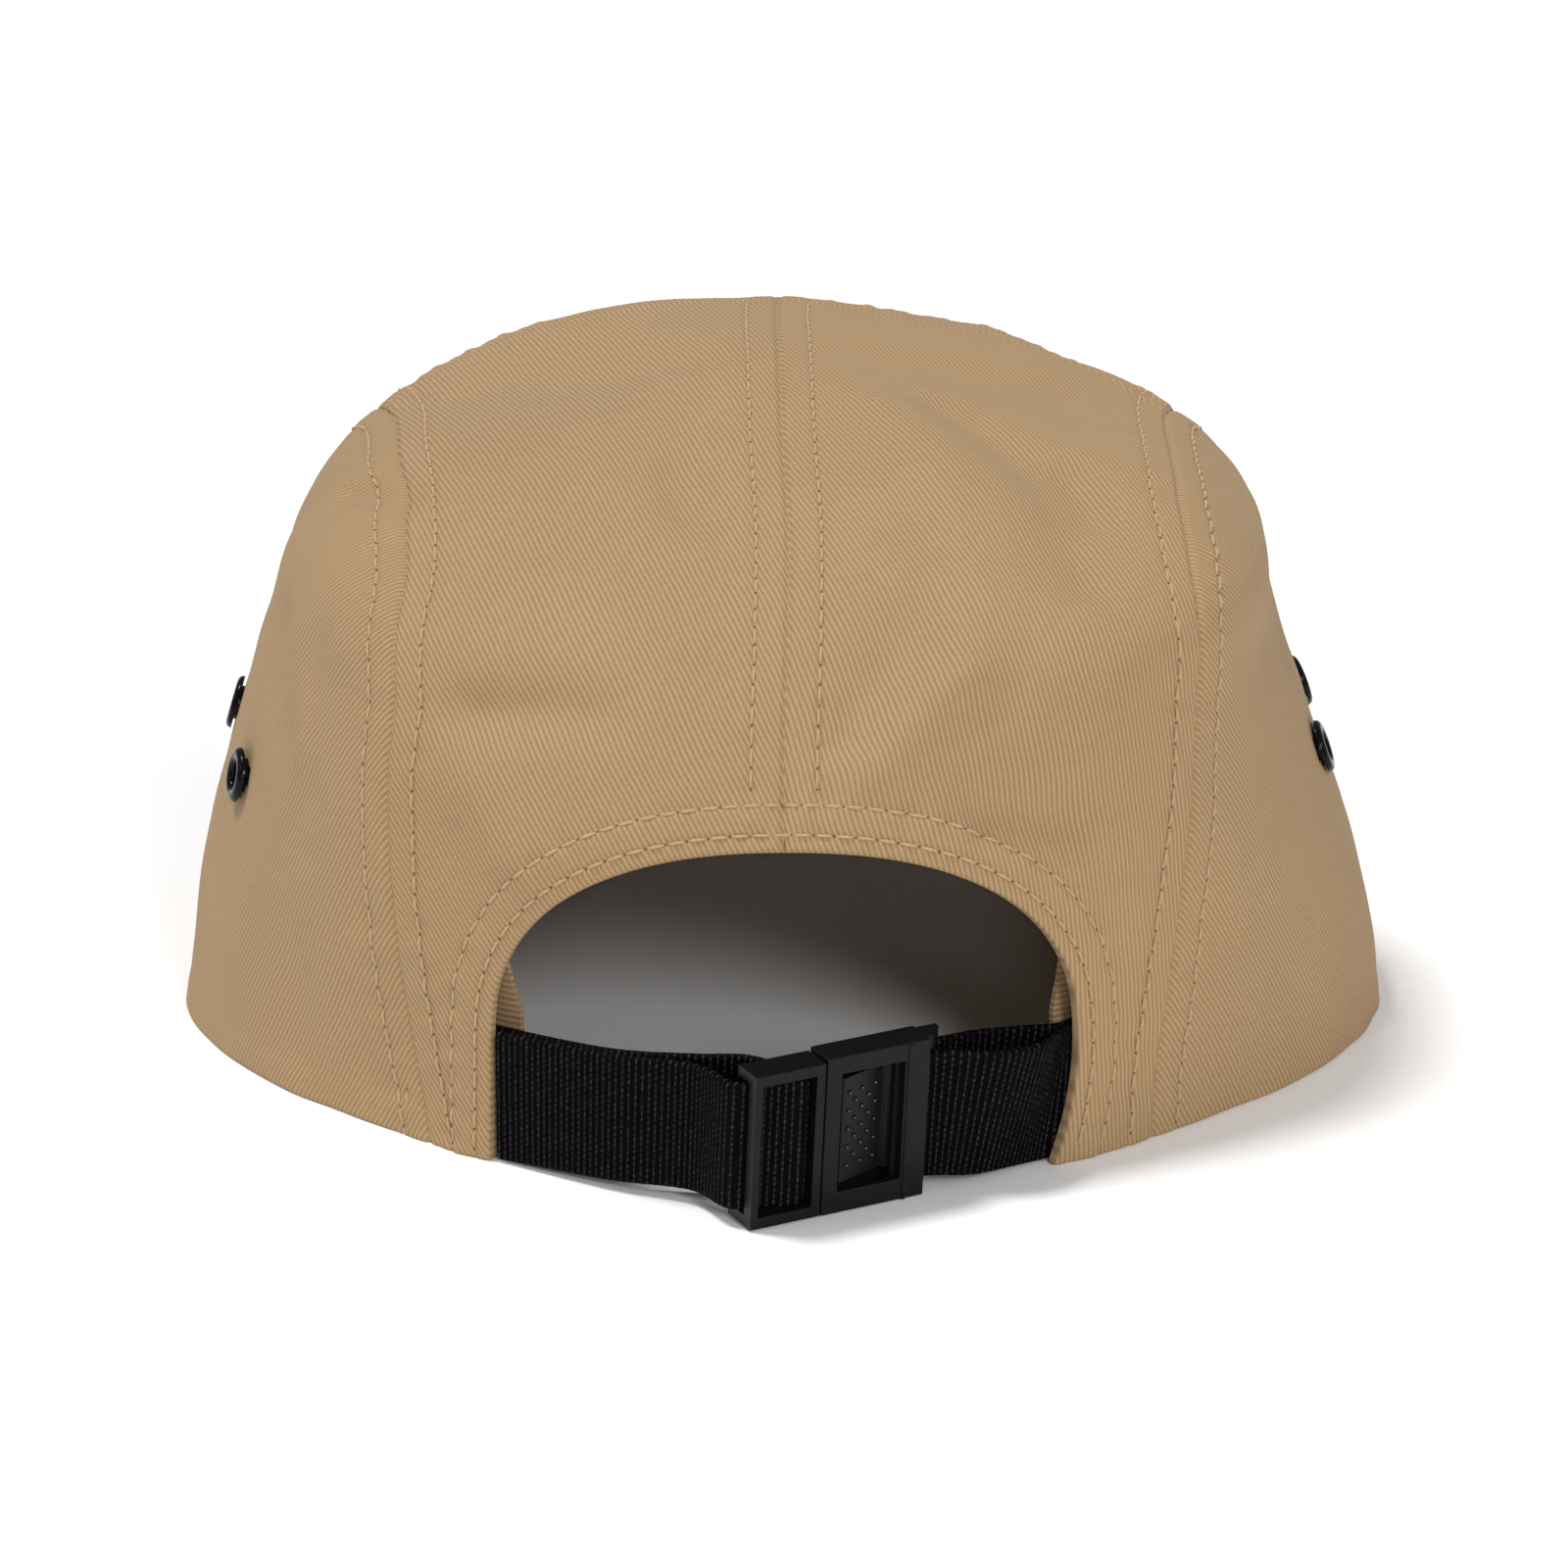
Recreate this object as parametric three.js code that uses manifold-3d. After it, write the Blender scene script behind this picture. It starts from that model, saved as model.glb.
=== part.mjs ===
// A five panel cap: two back panels, two side panels and a front panel sewn into one low crown,
// with a peak, a sweatband, four eyelets and a webbing strap with a plastic clip at the back.
// Millimetres, +Z up. The peak points to -Y, the strap closes at +Y, +X is the wearer's left.
import * as THREE from 'three';
import { mergeVertices } from 'three/addons/utils/BufferGeometryUtils.js';
import Module from 'manifold-3d';

const wasm = await Module();
wasm.setup();

// Crown
const crownWidth = 186.6;
const crownLength = 169.5;
const crownHeight = 104;
const clothWall = 1.2;
const pieceGap = 0.3;

// Opening at the back
const archWidth = 86;
const archHeight = 50.5;
const archLegHeight = 19;
const archSquareness = 2.3;
const rightFootTurnIn = 3.5;

// Peak
const peakLength = 68;
const peakFlare = 5;
const peakSquareness = 2.2;
const peakThickness = 2.6;
const peakDroop = 1.5;
const peakEndTurn = 55;

// Sweatband
const bandHeight = 29;
const bandThickness = 1;
const bandEase = 0.4;

// Webbing strap: how far its stretches between the panels and the clip sag in or bulge out
const strapWidth = 20;
const strapThickness = 1.3;
const strapLift = 0.4;
const strapTuck = 8;
const tailGap = 1.2;
const tailEase = 0.3;
const leftSag = 1;
const tailSag = 3.4;
const innerSag = 9;
const rightSag = 1.5;
const rightBulge = 5;
const rightTwist = 3;

// Clip
const clipYaw = 30;
const clipLean = 5;
const clipLift = 0.3;
const clipReach = 12.5;
const clipOffCentre = 4.9;
const clipDepth = 5.2;
const footDepth = 6.5;
const insertHeight = 24.2;
const insertLength = 11.5;
const insertBar = 1.2;
const insertBarDepth = 2;
const insertWeb = 1.4;
const railThickness = 1.7;
const lowerRail = 1.4;
const receiverLength = 17.2;
const receiverRise = 0.6;
const plateThickness = 1.4;
const backPlate = 1.2;
const backCut = 5.7;
const windowLength = 10.5;
const windowInset = 2.6;
const windowMargin = 3.2;
const windowTopMargin = 2.2;
const crossbarRadius = 0.9;
const crossbarInset = 6.4;
const crossbarSet = 0.4;
const endBarInset = 1.6;
const tongueGap = 0.5;
const tongueSideGap = 1.1;
const tongueFront = 0.7;
const tongueDip = 3;
const tongueLip = 0.9;
const tongueLipRise = 0.6;

// Eyelets
const eyeletOuter = 8.4;
const eyeletHole = 4;
const eyeletBarrel = 5.4;
const eyeletStand = 1;
const eyeletSeat = 0.45;

// Level rings of the crown, from its top to its hem. The reaches to the side are shares of half
// the width, the lean to the left too; the ring's middle and its reaches to the back and the
// front are shares of the length; the rises at the side, back and front are shares of the height.
// The last two columns say how square the ring is behind and ahead of its middle.
const ringColumns = ['side', 'lean', 'middle', 'back', 'front',
  'riseSide', 'riseBack', 'riseFront', 'squareBack', 'squareFront'];
const rings = [
  [0.000, 0.016, -0.047, 0.000, 0.000, 0.990, 0.990, 0.990, 2.00, 2.00],
  [0.322, 0.016, -0.047, 0.136, 0.130, 0.942, 0.940, 1.002, 2.10, 2.10],
  [0.614, 0.010, -0.053, 0.265, 0.242, 0.882, 0.861, 0.986, 2.55, 2.45],
  [0.777, 0.012, -0.059, 0.372, 0.319, 0.766, 0.755, 0.880, 2.75, 2.60],
  [0.830, 0.017, -0.065, 0.440, 0.372, 0.615, 0.615, 0.731, 2.40, 2.40],
  [0.884, 0.017, -0.065, 0.478, 0.419, 0.462, 0.462, 0.558, 2.10, 2.30],
  [0.939, 0.010, -0.059, 0.496, 0.460, 0.308, 0.308, 0.385, 1.85, 2.20],
  [0.981, 0.002, -0.047, 0.499, 0.490, 0.154, 0.154, 0.222, 1.68, 2.10],
  [1.000, 0.000, -0.035, 0.493, 0.507, 0.000, 0.000, 0.000, 1.60, 2.10],
];

// Folds and dents, each along a line between two places on the crown. A place is given across
// and along the crown laid out as a disc, as shares of the disc's radius, with the top at the
// middle and the hem at the rim. The width is a share of that radius, the height of the width
// of the crown.
const folds = [
  { across: 0.455, along: 0.140, toAcross: 0.505, toAlong: 0.250, width: 0.040, height: -0.0090 },
  { across: 0.425, along: 0.200, toAcross: 0.475, toAlong: 0.310, width: 0.035, height: 0.0045 },
  { across: 0.236, along: 0.140, toAcross: 0.300, toAlong: 0.080, width: 0.024, height: -0.0070 },
  { across: 0.060, along: 0.180, toAcross: 0.045, toAlong: 0.250, width: 0.040, height: -0.0050 },
  { across: 0.245, along: 0.400, toAcross: 0.170, toAlong: 0.480, width: 0.055, height: -0.0045 },
  { across: 0.310, along: 0.450, toAcross: 0.350, toAlong: 0.520, width: 0.060, height: 0.0030 },
  { across: -0.040, along: 0.060, toAcross: -0.080, toAlong: 0.200, width: 0.030, height: 0.0035 },
  { across: -0.080, along: 0.040, toAcross: -0.140, toAlong: 0.210, width: 0.035, height: -0.0050 },
  { across: -0.180, along: 0.170, toAcross: -0.208, toAlong: 0.215, width: 0.040, height: -0.0070 },
  { across: -0.150, along: 0.390, toAcross: -0.080, toAlong: 0.520, width: 0.045, height: 0.0035 },
  { across: -0.230, along: 0.500, toAcross: -0.135, toAlong: 0.510, width: 0.040, height: -0.0035 },
  { across: -0.530, along: -0.020, toAcross: -0.470, toAlong: 0.160, width: 0.050, height: -0.0070 },
  { across: -0.095, along: -0.210, toAcross: -0.155, toAlong: -0.205, width: 0.085, height: -0.0125 },
];

// Seams, as places across and along the same disc. Each side seam starts at the hem beside the
// back opening, passes the corner where the front seam meets it, and ends at the hem in front.
const sideSeamLeft = [
  [0.612, 0.791], [0.571, 0.688], [0.502, 0.572], [0.390, 0.425], [0.315, 0.342], [0.250, 0.245],
  [0.236, 0.140], [0.252, 0.040], [0.270, -0.120],
  [0.340, -0.270], [0.460, -0.410], [0.600, -0.525], [0.766, -0.643],
];
const sideSeamRight = [
  [-0.640, 0.768], [-0.580, 0.670], [-0.528, 0.545], [-0.455, 0.415], [-0.370, 0.310],
  [-0.300, 0.245], [-0.262, 0.140], [-0.266, 0.010], [-0.270, -0.120],
  [-0.340, -0.270], [-0.460, -0.410], [-0.600, -0.525], [-0.766, -0.643],
];
const cornerPoint = 8;
const frontSeamMiddle = [0, -0.235];

// Eyelets: side of the crown (1 is the left), distance behind the widest line, and height.
const eyelets = [
  { name: 'eyelet_left_back', side: 1, along: 10.5, height: 42.8 },
  { name: 'eyelet_left_front', side: 1, along: -14, height: 46.5 },
  { name: 'eyelet_right_back', side: -1, along: -4, height: 42.5 },
  { name: 'eyelet_right_front', side: -1, along: -28, height: 45.5 },
];

// Grid steps along the edges that panels share, so that both sides of a seam have one line.
const halfFrontSteps = 10;
const backRiseSteps = 16;
const shoulderSteps = 10;
const browSteps = 6;
const archSteps = 13;

const cloth = new THREE.MeshStandardMaterial({ color: 0xbc9c76, roughness: 0.92, metalness: 0 });
const bandCloth = new THREE.MeshStandardMaterial({ color: 0xb6987a, roughness: 0.95, metalness: 0 });
const webbing = new THREE.MeshStandardMaterial({ color: 0x141316, roughness: 0.85, metalness: 0 });
const plastic = new THREE.MeshStandardMaterial({ color: 0x1c1c1d, roughness: 0.45, metalness: 0 });
const enamel = new THREE.MeshStandardMaterial({ color: 0x0c0c0d, roughness: 0.2, metalness: 0.6 });

const radians = THREE.MathUtils.degToRad;
const clamp = THREE.MathUtils.clamp;
const vec = (x, y, z) => new THREE.Vector3(x, y, z);
const mix = (from, to, share) => from.map((value, i) => value + (to[i] - value) * share);

// The hem is lifted in front by the peak that lies under it, so that the peak's ends rest level.
const peakEndShare = Math.cos(radians(peakEndTurn)) ** 2;
const frontLift = (peakThickness + pieceGap) / peakEndShare;
rings[rings.length - 1][ringColumns.indexOf('riseFront')] = frontLift / crownHeight;

// A ring's row, carried on past the top as the far side's, and past the hem in a straight line.
function ringRow(index) {
  const last = rings.length - 1;
  if (index > last) return rings[last].map((value, i) => 2 * value - rings[last - 1][i]);
  if (index >= 0) return rings[index];
  const [side, lean, middle, back, front, riseSide, riseBack, riseFront, squareBack, squareFront]
    = rings[-index];
  return [-side, lean, middle, -front, -back, riseSide, riseFront, riseBack, squareBack, squareFront];
}

// The ring at a share of the way out from the top, on a smooth curve through the rows.
function ringAt(out) {
  const last = rings.length - 1;
  const place = clamp(out, 0, 1) * last;
  const index = Math.min(Math.floor(place), last - 1);
  const f = place - index;
  const [a, b, c, d] = [-1, 0, 1, 2].map((step) => ringRow(index + step));
  const values = b.map((value, i) => value + 0.5 * f * (c[i] - a[i]
    + f * (2 * a[i] - 5 * value + 4 * c[i] - d[i] + f * (3 * (value - c[i]) + d[i] - a[i]))));
  return Object.fromEntries(ringColumns.map((name, i) => [name, values[i]]));
}

// The smooth crown, without its folds.
function smoothCrown(across, along) {
  const ring = ringAt(Math.hypot(across, along));
  const turn = Math.atan2(across, along);
  const behind = Math.cos(turn) >= 0;
  const square = behind ? ring.squareBack : ring.squareFront;
  const s = Math.abs(Math.sin(turn));
  const c = Math.abs(Math.cos(turn));
  const reach = (s ** square + c ** square) ** (-1 / square);
  const half = crownWidth / 2;
  const endShare = (c * reach) ** 2;
  const rise = behind ? ring.riseBack : ring.riseFront;
  return vec(
    half * (ring.lean + ring.side * Math.sin(turn) * reach),
    crownLength * (ring.middle + (behind ? ring.back : ring.front) * Math.cos(turn) * reach),
    crownHeight * (ring.riseSide + (rise - ring.riseSide) * endShare),
  );
}

// The outward direction of a surface, from its slopes across and along.
function outward(surface, across, along) {
  const step = 0.002;
  const slopeAcross = surface(across + step, along).sub(surface(across - step, along));
  const slopeAlong = surface(across, along + step).sub(surface(across, along - step));
  return slopeAcross.cross(slopeAlong).normalize();
}

// How far the folds push the crown out at a place. They fade out before the hem.
function foldHeight(across, along) {
  const hemFade = clamp((1 - Math.hypot(across, along)) / 0.15, 0, 1);
  const total = folds.reduce((sum, fold) => {
    const run = [fold.toAcross - fold.across, fold.toAlong - fold.along];
    const offset = [across - fold.across, along - fold.along];
    const length = run[0] ** 2 + run[1] ** 2;
    const share = clamp((offset[0] * run[0] + offset[1] * run[1]) / length, 0, 1);
    const away = Math.hypot(offset[0] - run[0] * share, offset[1] - run[1] * share);
    return sum + fold.height * Math.exp(-((away / fold.width) ** 2));
  }, 0);
  return crownWidth * total * hemFade;
}

// The outer face of the crown.
function crown(across, along) {
  const push = outward(smoothCrown, across, along).multiplyScalar(foldHeight(across, along));
  return smoothCrown(across, along).add(push);
}

// The outward direction of the cloth. At the hem it is level, so that the hem's edge is too.
function clothOutward(across, along) {
  const direction = outward(crown, across, along);
  if (Math.hypot(across, along) > 0.999) direction.setZ(0).normalize();
  return direction;
}

// The place on the disc where two measures of the crown's face have the wanted values, by
// Newton's rule from a first guess.
function findPlace(measures, wanted, guess) {
  const step = 0.001;
  let [across, along] = guess;
  for (let round = 0; round < 20; round += 1) {
    const here = measures(smoothCrown(across, along));
    const right = measures(smoothCrown(across + step, along));
    const back = measures(smoothCrown(across, along + step));
    const error = [wanted[0] - here[0], wanted[1] - here[1]];
    const m = [right[0] - here[0], back[0] - here[0], right[1] - here[1], back[1] - here[1]]
      .map((value) => value / step);
    const scale = m[0] * m[3] - m[1] * m[2];
    across += clamp((error[0] * m[3] - error[1] * m[1]) / scale, -0.1, 0.1);
    along += clamp((error[1] * m[0] - error[0] * m[2]) / scale, -0.1, 0.1);
    const out = Math.hypot(across, along);
    if (out > 1) [across, along] = [across / out, along / out];
  }
  return [across, along];
}
const placeAtBack = (x, z) => findPlace((p) => [p.x, p.z], [x, z], [x / crownWidth, 0.75]);
const placeAtSide = (y, z, side) => findPlace((p) => [p.y, p.z], [y, z], [0.62 * side, 0.05]);

// The hem's place at an angle from the back centre, towards the left.
const hemPlace = (turn) => [Math.sin(turn), Math.cos(turn)];
const turnOf = ([across, along]) => Math.atan2(across, along);
const onHem = (place) => hemPlace(turnOf(place));

// The hem's turn where it is so far to the left behind, found by halving.
function hemTurnAt(x) {
  let [low, high] = [-Math.PI / 2, Math.PI / 2];
  for (let round = 0; round < 40; round += 1) {
    const middle = (low + high) / 2;
    if (smoothCrown(...hemPlace(middle)).x < x) low = middle;
    else high = middle;
  }
  return low;
}

// Edges of the panels. Each is a list of places, one for each grid step.
function alongCurve(points, first, last, steps) {
  const curve = new THREE.SplineCurve(points.map(([x, y]) => new THREE.Vector2(x, y)));
  const whole = points.length - 1;
  return Array.from({ length: steps + 1 }, (_, i) => {
    const place = curve.getPoint((first + (last - first) * (i / steps)) / whole);
    return [place.x, place.y];
  });
}
function alongHem(from, to, steps) {
  return Array.from({ length: steps + 1 }, (_, i) => hemPlace(from + (to - from) * (i / steps)));
}
function alongLine(from, to, steps) {
  return Array.from({ length: steps + 1 }, (_, i) => mix(from, to, i / steps));
}

// The edge of the back opening from its foot up to its top: a leg, then a round arch. The right
// leg turns in towards its foot.
function archEdge(side) {
  const half = archWidth / 2;
  const turnIn = side < 0 ? rightFootTurnIn : 0;
  const legSteps = 3;
  const leg = Array.from({ length: legSteps - 1 }, (_, i) => (i + 1) / legSteps)
    .map((share) => [half - turnIn * (1 - share) ** 2, archLegHeight * share]);
  const bowSteps = archSteps - legSteps;
  const bow = Array.from({ length: bowSteps + 1 }, (_, i) => {
    const swing = (Math.PI / 2) * (i / bowSteps);
    return [half * Math.cos(swing) ** (2 / archSquareness),
      archLegHeight + (archHeight - archLegHeight) * Math.sin(swing) ** (2 / archSquareness)];
  });
  return [hemPlace(hemTurnAt(side * (half - turnIn))),
    ...[...leg, ...bow].map(([x, z]) => placeAtBack(side * x, z))];
}

// A grid of places filled in between four edges, so that its borders are exactly those edges.
function fillGrid(bottom, top, left, right) {
  const across = bottom.length - 1;
  const up = left.length - 1;
  const corner = [bottom[0], bottom[across], top[0], top[across]];
  return left.map((leftPlace, j) => bottom.map((bottomPlace, i) => {
    const u = i / across;
    const v = j / up;
    return [0, 1].map((k) => (1 - v) * bottomPlace[k] + v * top[i][k]
      + (1 - u) * leftPlace[k] + u * right[j][k]
      - (1 - u) * (1 - v) * corner[0][k] - u * (1 - v) * corner[1][k]
      - (1 - u) * v * corner[2][k] - u * v * corner[3][k]);
  }));
}

// A closed body from two facing layers of points, rows of the same length.
function wallBody(outer, inner) {
  const rows = outer.length;
  const columns = outer[0].length;
  const points = [...outer.flat(), ...inner.flat()];
  const at = (layer, j, i) => (layer * rows + j) * columns + i;
  const faces = [];
  const quad = (a, b, c, d) => faces.push(a, b, c, a, c, d);
  for (let j = 0; j < rows - 1; j += 1) {
    for (let i = 0; i < columns - 1; i += 1) {
      quad(at(0, j, i), at(0, j, i + 1), at(0, j + 1, i + 1), at(0, j + 1, i));
      quad(at(1, j, i), at(1, j + 1, i), at(1, j + 1, i + 1), at(1, j, i + 1));
    }
  }
  for (let i = 0; i < columns - 1; i += 1) {
    quad(at(0, 0, i), at(1, 0, i), at(1, 0, i + 1), at(0, 0, i + 1));
    quad(at(0, rows - 1, i), at(0, rows - 1, i + 1), at(1, rows - 1, i + 1), at(1, rows - 1, i));
  }
  for (let j = 0; j < rows - 1; j += 1) {
    quad(at(0, j, 0), at(0, j + 1, 0), at(1, j + 1, 0), at(1, j, 0));
    quad(at(0, j, columns - 1), at(1, j, columns - 1), at(1, j + 1, columns - 1),
      at(0, j + 1, columns - 1));
  }
  const geometry = new THREE.BufferGeometry();
  geometry.setAttribute('position',
    new THREE.Float32BufferAttribute(points.flatMap((p) => [p.x, p.y, p.z]), 3));
  geometry.setIndex(faces);
  return facingOut(geometry);
}

// Turns a closed body's faces outwards, told by the sign of its volume.
function facingOut(geometry) {
  const position = geometry.attributes.position;
  const index = Array.from(geometry.index.array);
  const point = (i) => vec().fromBufferAttribute(position, i);
  let volume = 0;
  for (let i = 0; i < index.length; i += 3) {
    volume += point(index[i]).dot(point(index[i + 1]).cross(point(index[i + 2])));
  }
  if (volume < 0) index.reverse();
  geometry.setIndex(index);
  return geometry;
}

// One cloth panel: the crown's face over a grid of places and the same face a wall further in.
// Its edges stand half a gap back from the seam lines, all but the hem.
function clothPanel(grid) {
  const rows = grid.length - 1;
  const columns = grid[0].length - 1;
  const face = grid.map((row) => row.map(([across, along]) => crown(across, along)));
  const shift = grid.map((row, j) => row.map((_, i) => {
    const move = vec();
    const inwards = (to, before, after) => {
      const edge = after.clone().sub(before).normalize();
      const way = to.clone().sub(face[j][i]);
      move.add(way.addScaledVector(edge, -way.dot(edge)).setLength(pieceGap / 2));
    };
    if (i === 0 || i === columns) {
      inwards(face[j][i === 0 ? 1 : columns - 1], face[Math.max(j - 1, 0)][i],
        face[Math.min(j + 1, rows)][i]);
    }
    if (j === rows) {
      inwards(face[rows - 1][i], face[j][Math.max(i - 1, 0)], face[j][Math.min(i + 1, columns)]);
    }
    return j === 0 ? move.setZ(0) : move;
  }));
  const layer = (depth) => grid.map((row, j) => row.map(([across, along], i) => face[j][i].clone()
    .add(shift[j][i]).addScaledVector(clothOutward(across, along), -depth)));
  return wallBody(layer(0), layer(clothWall));
}

function backPanel(side, seam) {
  const rise = backRiseSteps + shoulderSteps;
  const arch = archEdge(side);
  const outerEdge = alongCurve(seam, 0, cornerPoint, rise);
  outerEdge[0] = onHem(outerEdge[0]);
  const centre = alongLine(arch[archSteps], frontSeamMiddle, rise - archSteps);
  const bottom = alongHem(turnOf(outerEdge[0]), turnOf(arch[0]), halfFrontSteps);
  const top = halfFrontSeam(seam[cornerPoint]);
  return clothPanel(fillGrid(bottom, top, outerEdge, [...arch, ...centre.slice(1)]));
}
// Half of the front seam, from the corner to the middle, bowed towards the front.
function halfFrontSeam(corner) {
  const bow = [(corner[0] + frontSeamMiddle[0]) * 0.52, frontSeamMiddle[1] * 0.86];
  return alongCurve([corner, bow, frontSeamMiddle], 0, 2, halfFrontSteps);
}
function sidePanel(seam) {
  const rise = backRiseSteps + shoulderSteps;
  const behind = alongCurve(seam, 0, cornerPoint, rise);
  const ahead = alongCurve(seam, cornerPoint, seam.length - 1, browSteps + backRiseSteps);
  behind[0] = onHem(behind[0]);
  ahead[ahead.length - 1] = onHem(ahead[ahead.length - 1]);
  const left = behind.slice(0, backRiseSteps + 1);
  const top = [...behind.slice(backRiseSteps), ...ahead.slice(1, browSteps + 1)];
  const right = ahead.slice(browSteps).reverse();
  const bottom = alongHem(turnOf(left[0]), turnOf(right[0]), shoulderSteps + browSteps);
  return clothPanel(fillGrid(bottom, top, left, right));
}
function frontPanel() {
  const edges = [sideSeamLeft, sideSeamRight].map((seam) => {
    const edge = alongCurve(seam, cornerPoint, seam.length - 1, browSteps + backRiseSteps);
    edge[edge.length - 1] = onHem(edge[edge.length - 1]);
    return edge.reverse();
  });
  const halves = [sideSeamLeft, sideSeamRight].map((seam) => halfFrontSeam(seam[cornerPoint]));
  const top = [...halves[0], ...halves[1].reverse().slice(1)];
  const from = turnOf(edges[0][0]);
  const to = 2 * Math.PI + turnOf(edges[1][0]);
  const bottom = alongHem(from, to, 2 * halfFrontSteps);
  return clothPanel(fillGrid(bottom, top, edges[0], edges[1]));
}

// The peak: a stiff plate under the front hem, from the hem's inner edge out to a round front.
// Each part of it keeps the height of the hem that it is sewn to, less the droop to the front.
function peak() {
  const acrossSteps = 32;
  const outSteps = 5;
  const power = 2 / peakSquareness;
  const noseY = smoothCrown(0, -1).y - peakLength;
  const end = radians(180 - peakEndTurn);
  const endRoot = smoothCrown(...hemPlace(end));
  const layer = (drop) => Array.from({ length: outSteps + 1 }, (_, j) => (
    Array.from({ length: acrossSteps + 1 }, (_, i) => {
      const share = 1 - 2 * (i / acrossSteps);
      const place = hemPlace(Math.PI - share * (Math.PI - end));
      const root = smoothCrown(...place);
      const level = outward(smoothCrown, ...place).setZ(0).normalize();
      const start = root.clone().addScaledVector(level, -clothWall);
      const swing = Math.abs(share) * (Math.PI / 2);
      const half = endRoot.x * Math.sin(swing) ** power + peakFlare * Math.sin(2 * swing);
      const rim = vec(Math.sign(share) * half, endRoot.y + (noseY - endRoot.y) * Math.cos(swing) ** power, 0);
      const out = j / outSteps;
      const under = root.z - pieceGap - peakThickness - peakDroop * out * (1 - Math.abs(share));
      return start.lerp(rim, out).setZ(Math.max(under, 0) + peakThickness - drop);
    })
  ));
  return wallBody(layer(0), layer(peakThickness));
}

// The sweatband: a strip round the inside of the hem, open at the back. Its ends stand further
// in, where the strap lies between it and the panels, and show a little in the opening.
function sweatband() {
  const aroundSteps = 56;
  const upSteps = 3;
  const ends = [1, -1].map((side) => hemTurnAt(side * (archWidth / 2)));
  const topPlace = placeAtSide(0, bandHeight, 1);
  const topOut = Math.hypot(topPlace[0], topPlace[1]);
  const bottomOut = 0.985;
  const strapRoom = 2 * (strapThickness + pieceGap);
  const layer = (thickness) => Array.from({ length: upSteps + 1 }, (_, j) => (
    Array.from({ length: aroundSteps + 1 }, (_, i) => {
      const share = i / aroundSteps;
      const turn = ends[0] + (2 * Math.PI + ends[1] - ends[0]) * share;
      const out = bottomOut + (topOut - bottomOut) * (j / upSteps);
      const [across, along] = hemPlace(turn).map((value) => value * out);
      const nearEnd = Math.min(share, 1 - share) * aroundSteps;
      const room = strapRoom * (1 - THREE.MathUtils.smoothstep(nearEnd, 3, 7));
      const depth = clothWall + pieceGap + bandEase + room + thickness;
      return smoothCrown(across, along)
        .addScaledVector(outward(smoothCrown, across, along).setZ(0).normalize(), -depth);
    })
  ));
  return wallBody(layer(0), layer(bandThickness));
}

// The clip's own frame: length from its left end, height, and depth behind its front face.
const clipFrame = new THREE.Group();
clipFrame.position.set(clipOffCentre, smoothCrown(0, 1).y + clipReach, clipLift);
clipFrame.rotation.set(radians(clipLean), 0, radians(180 + clipYaw), 'ZXY');
clipFrame.updateMatrixWorld();
const inClip = (length, depth, height) => vec(length, depth, height).applyMatrix4(clipFrame.matrixWorld);

// A strip of webbing along two rails, one for each of its edges.
function webbingStrip(rails) {
  const curves = [0, 1].map((k) => (
    new THREE.CatmullRomCurve3(rails.map((pair) => pair[k]), false, 'centripetal')));
  const steps = (rails.length - 1) * 3;
  const sides = [0.5, -0.5].map((half) => (
    Array.from({ length: steps + 1 }, (_, i) => {
      const [low, high] = curves.map((curve) => curve.getPoint(i / steps));
      const upright = high.clone().sub(low);
      const tangent = curves[0].getTangent(i / steps).add(curves[1].getTangent(i / steps));
      const away = tangent.cross(upright).setLength(half * strapThickness);
      return [low.add(away), high.add(away)];
    })
  ));
  return wallBody(sides[0], sides[1]);
}

// The two edges of the webbing where it lies inside a back panel, so far behind its inner face.
function underPanel(lowX, highX, depth) {
  return [[lowX, strapLift], [highX, strapLift + strapWidth]].map(([x, z]) => {
    const place = placeAtBack(x, z);
    const direction = outward(smoothCrown, ...place).setZ(0).normalize();
    return smoothCrown(...place).addScaledVector(direction, -depth).setZ(z);
  });
}
const throughClip = (length, depth, low) => [inClip(length, depth, low),
  inClip(length, depth, low + strapWidth)];

// The webbing round a bar of the clip, at some angles from its rear round the given side.
function roundBar(length, depth, way, low, angles) {
  const radius = crossbarRadius + pieceGap + strapThickness / 2;
  return angles.map((angle) => throughClip(
    length + way * radius * Math.sin(radians(angle)), depth + radius * Math.cos(radians(angle)), low));
}

// A place on the way from one pair of edges to another, moved outwards, its low and high edge
// each by an amount of its own.
function onTheWay(fromPair, toPair, share, lowOut, highOut) {
  return [lowOut, highOut].map((outwards, k) => {
    const run = toPair[k].clone().sub(fromPair[k]);
    const away = vec(-run.y, run.x, 0).normalize();
    if (away.y < 0) away.negate();
    return fromPair[k].clone().addScaledVector(run, share).addScaledVector(away, outwards);
  });
}
const ply = strapThickness + pieceGap;
const outerPlyDepth = clothWall + pieceGap + strapThickness / 2;
const crossbarDepth = crossbarSet + ply + crossbarRadius;
const endBarDepth = plateThickness + ply + pieceGap + crossbarRadius;
const receiverStart = insertLength + pieceGap;
const windowStart = receiverStart + windowInset;
const endBarLength = receiverStart + receiverLength - endBarInset;

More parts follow.
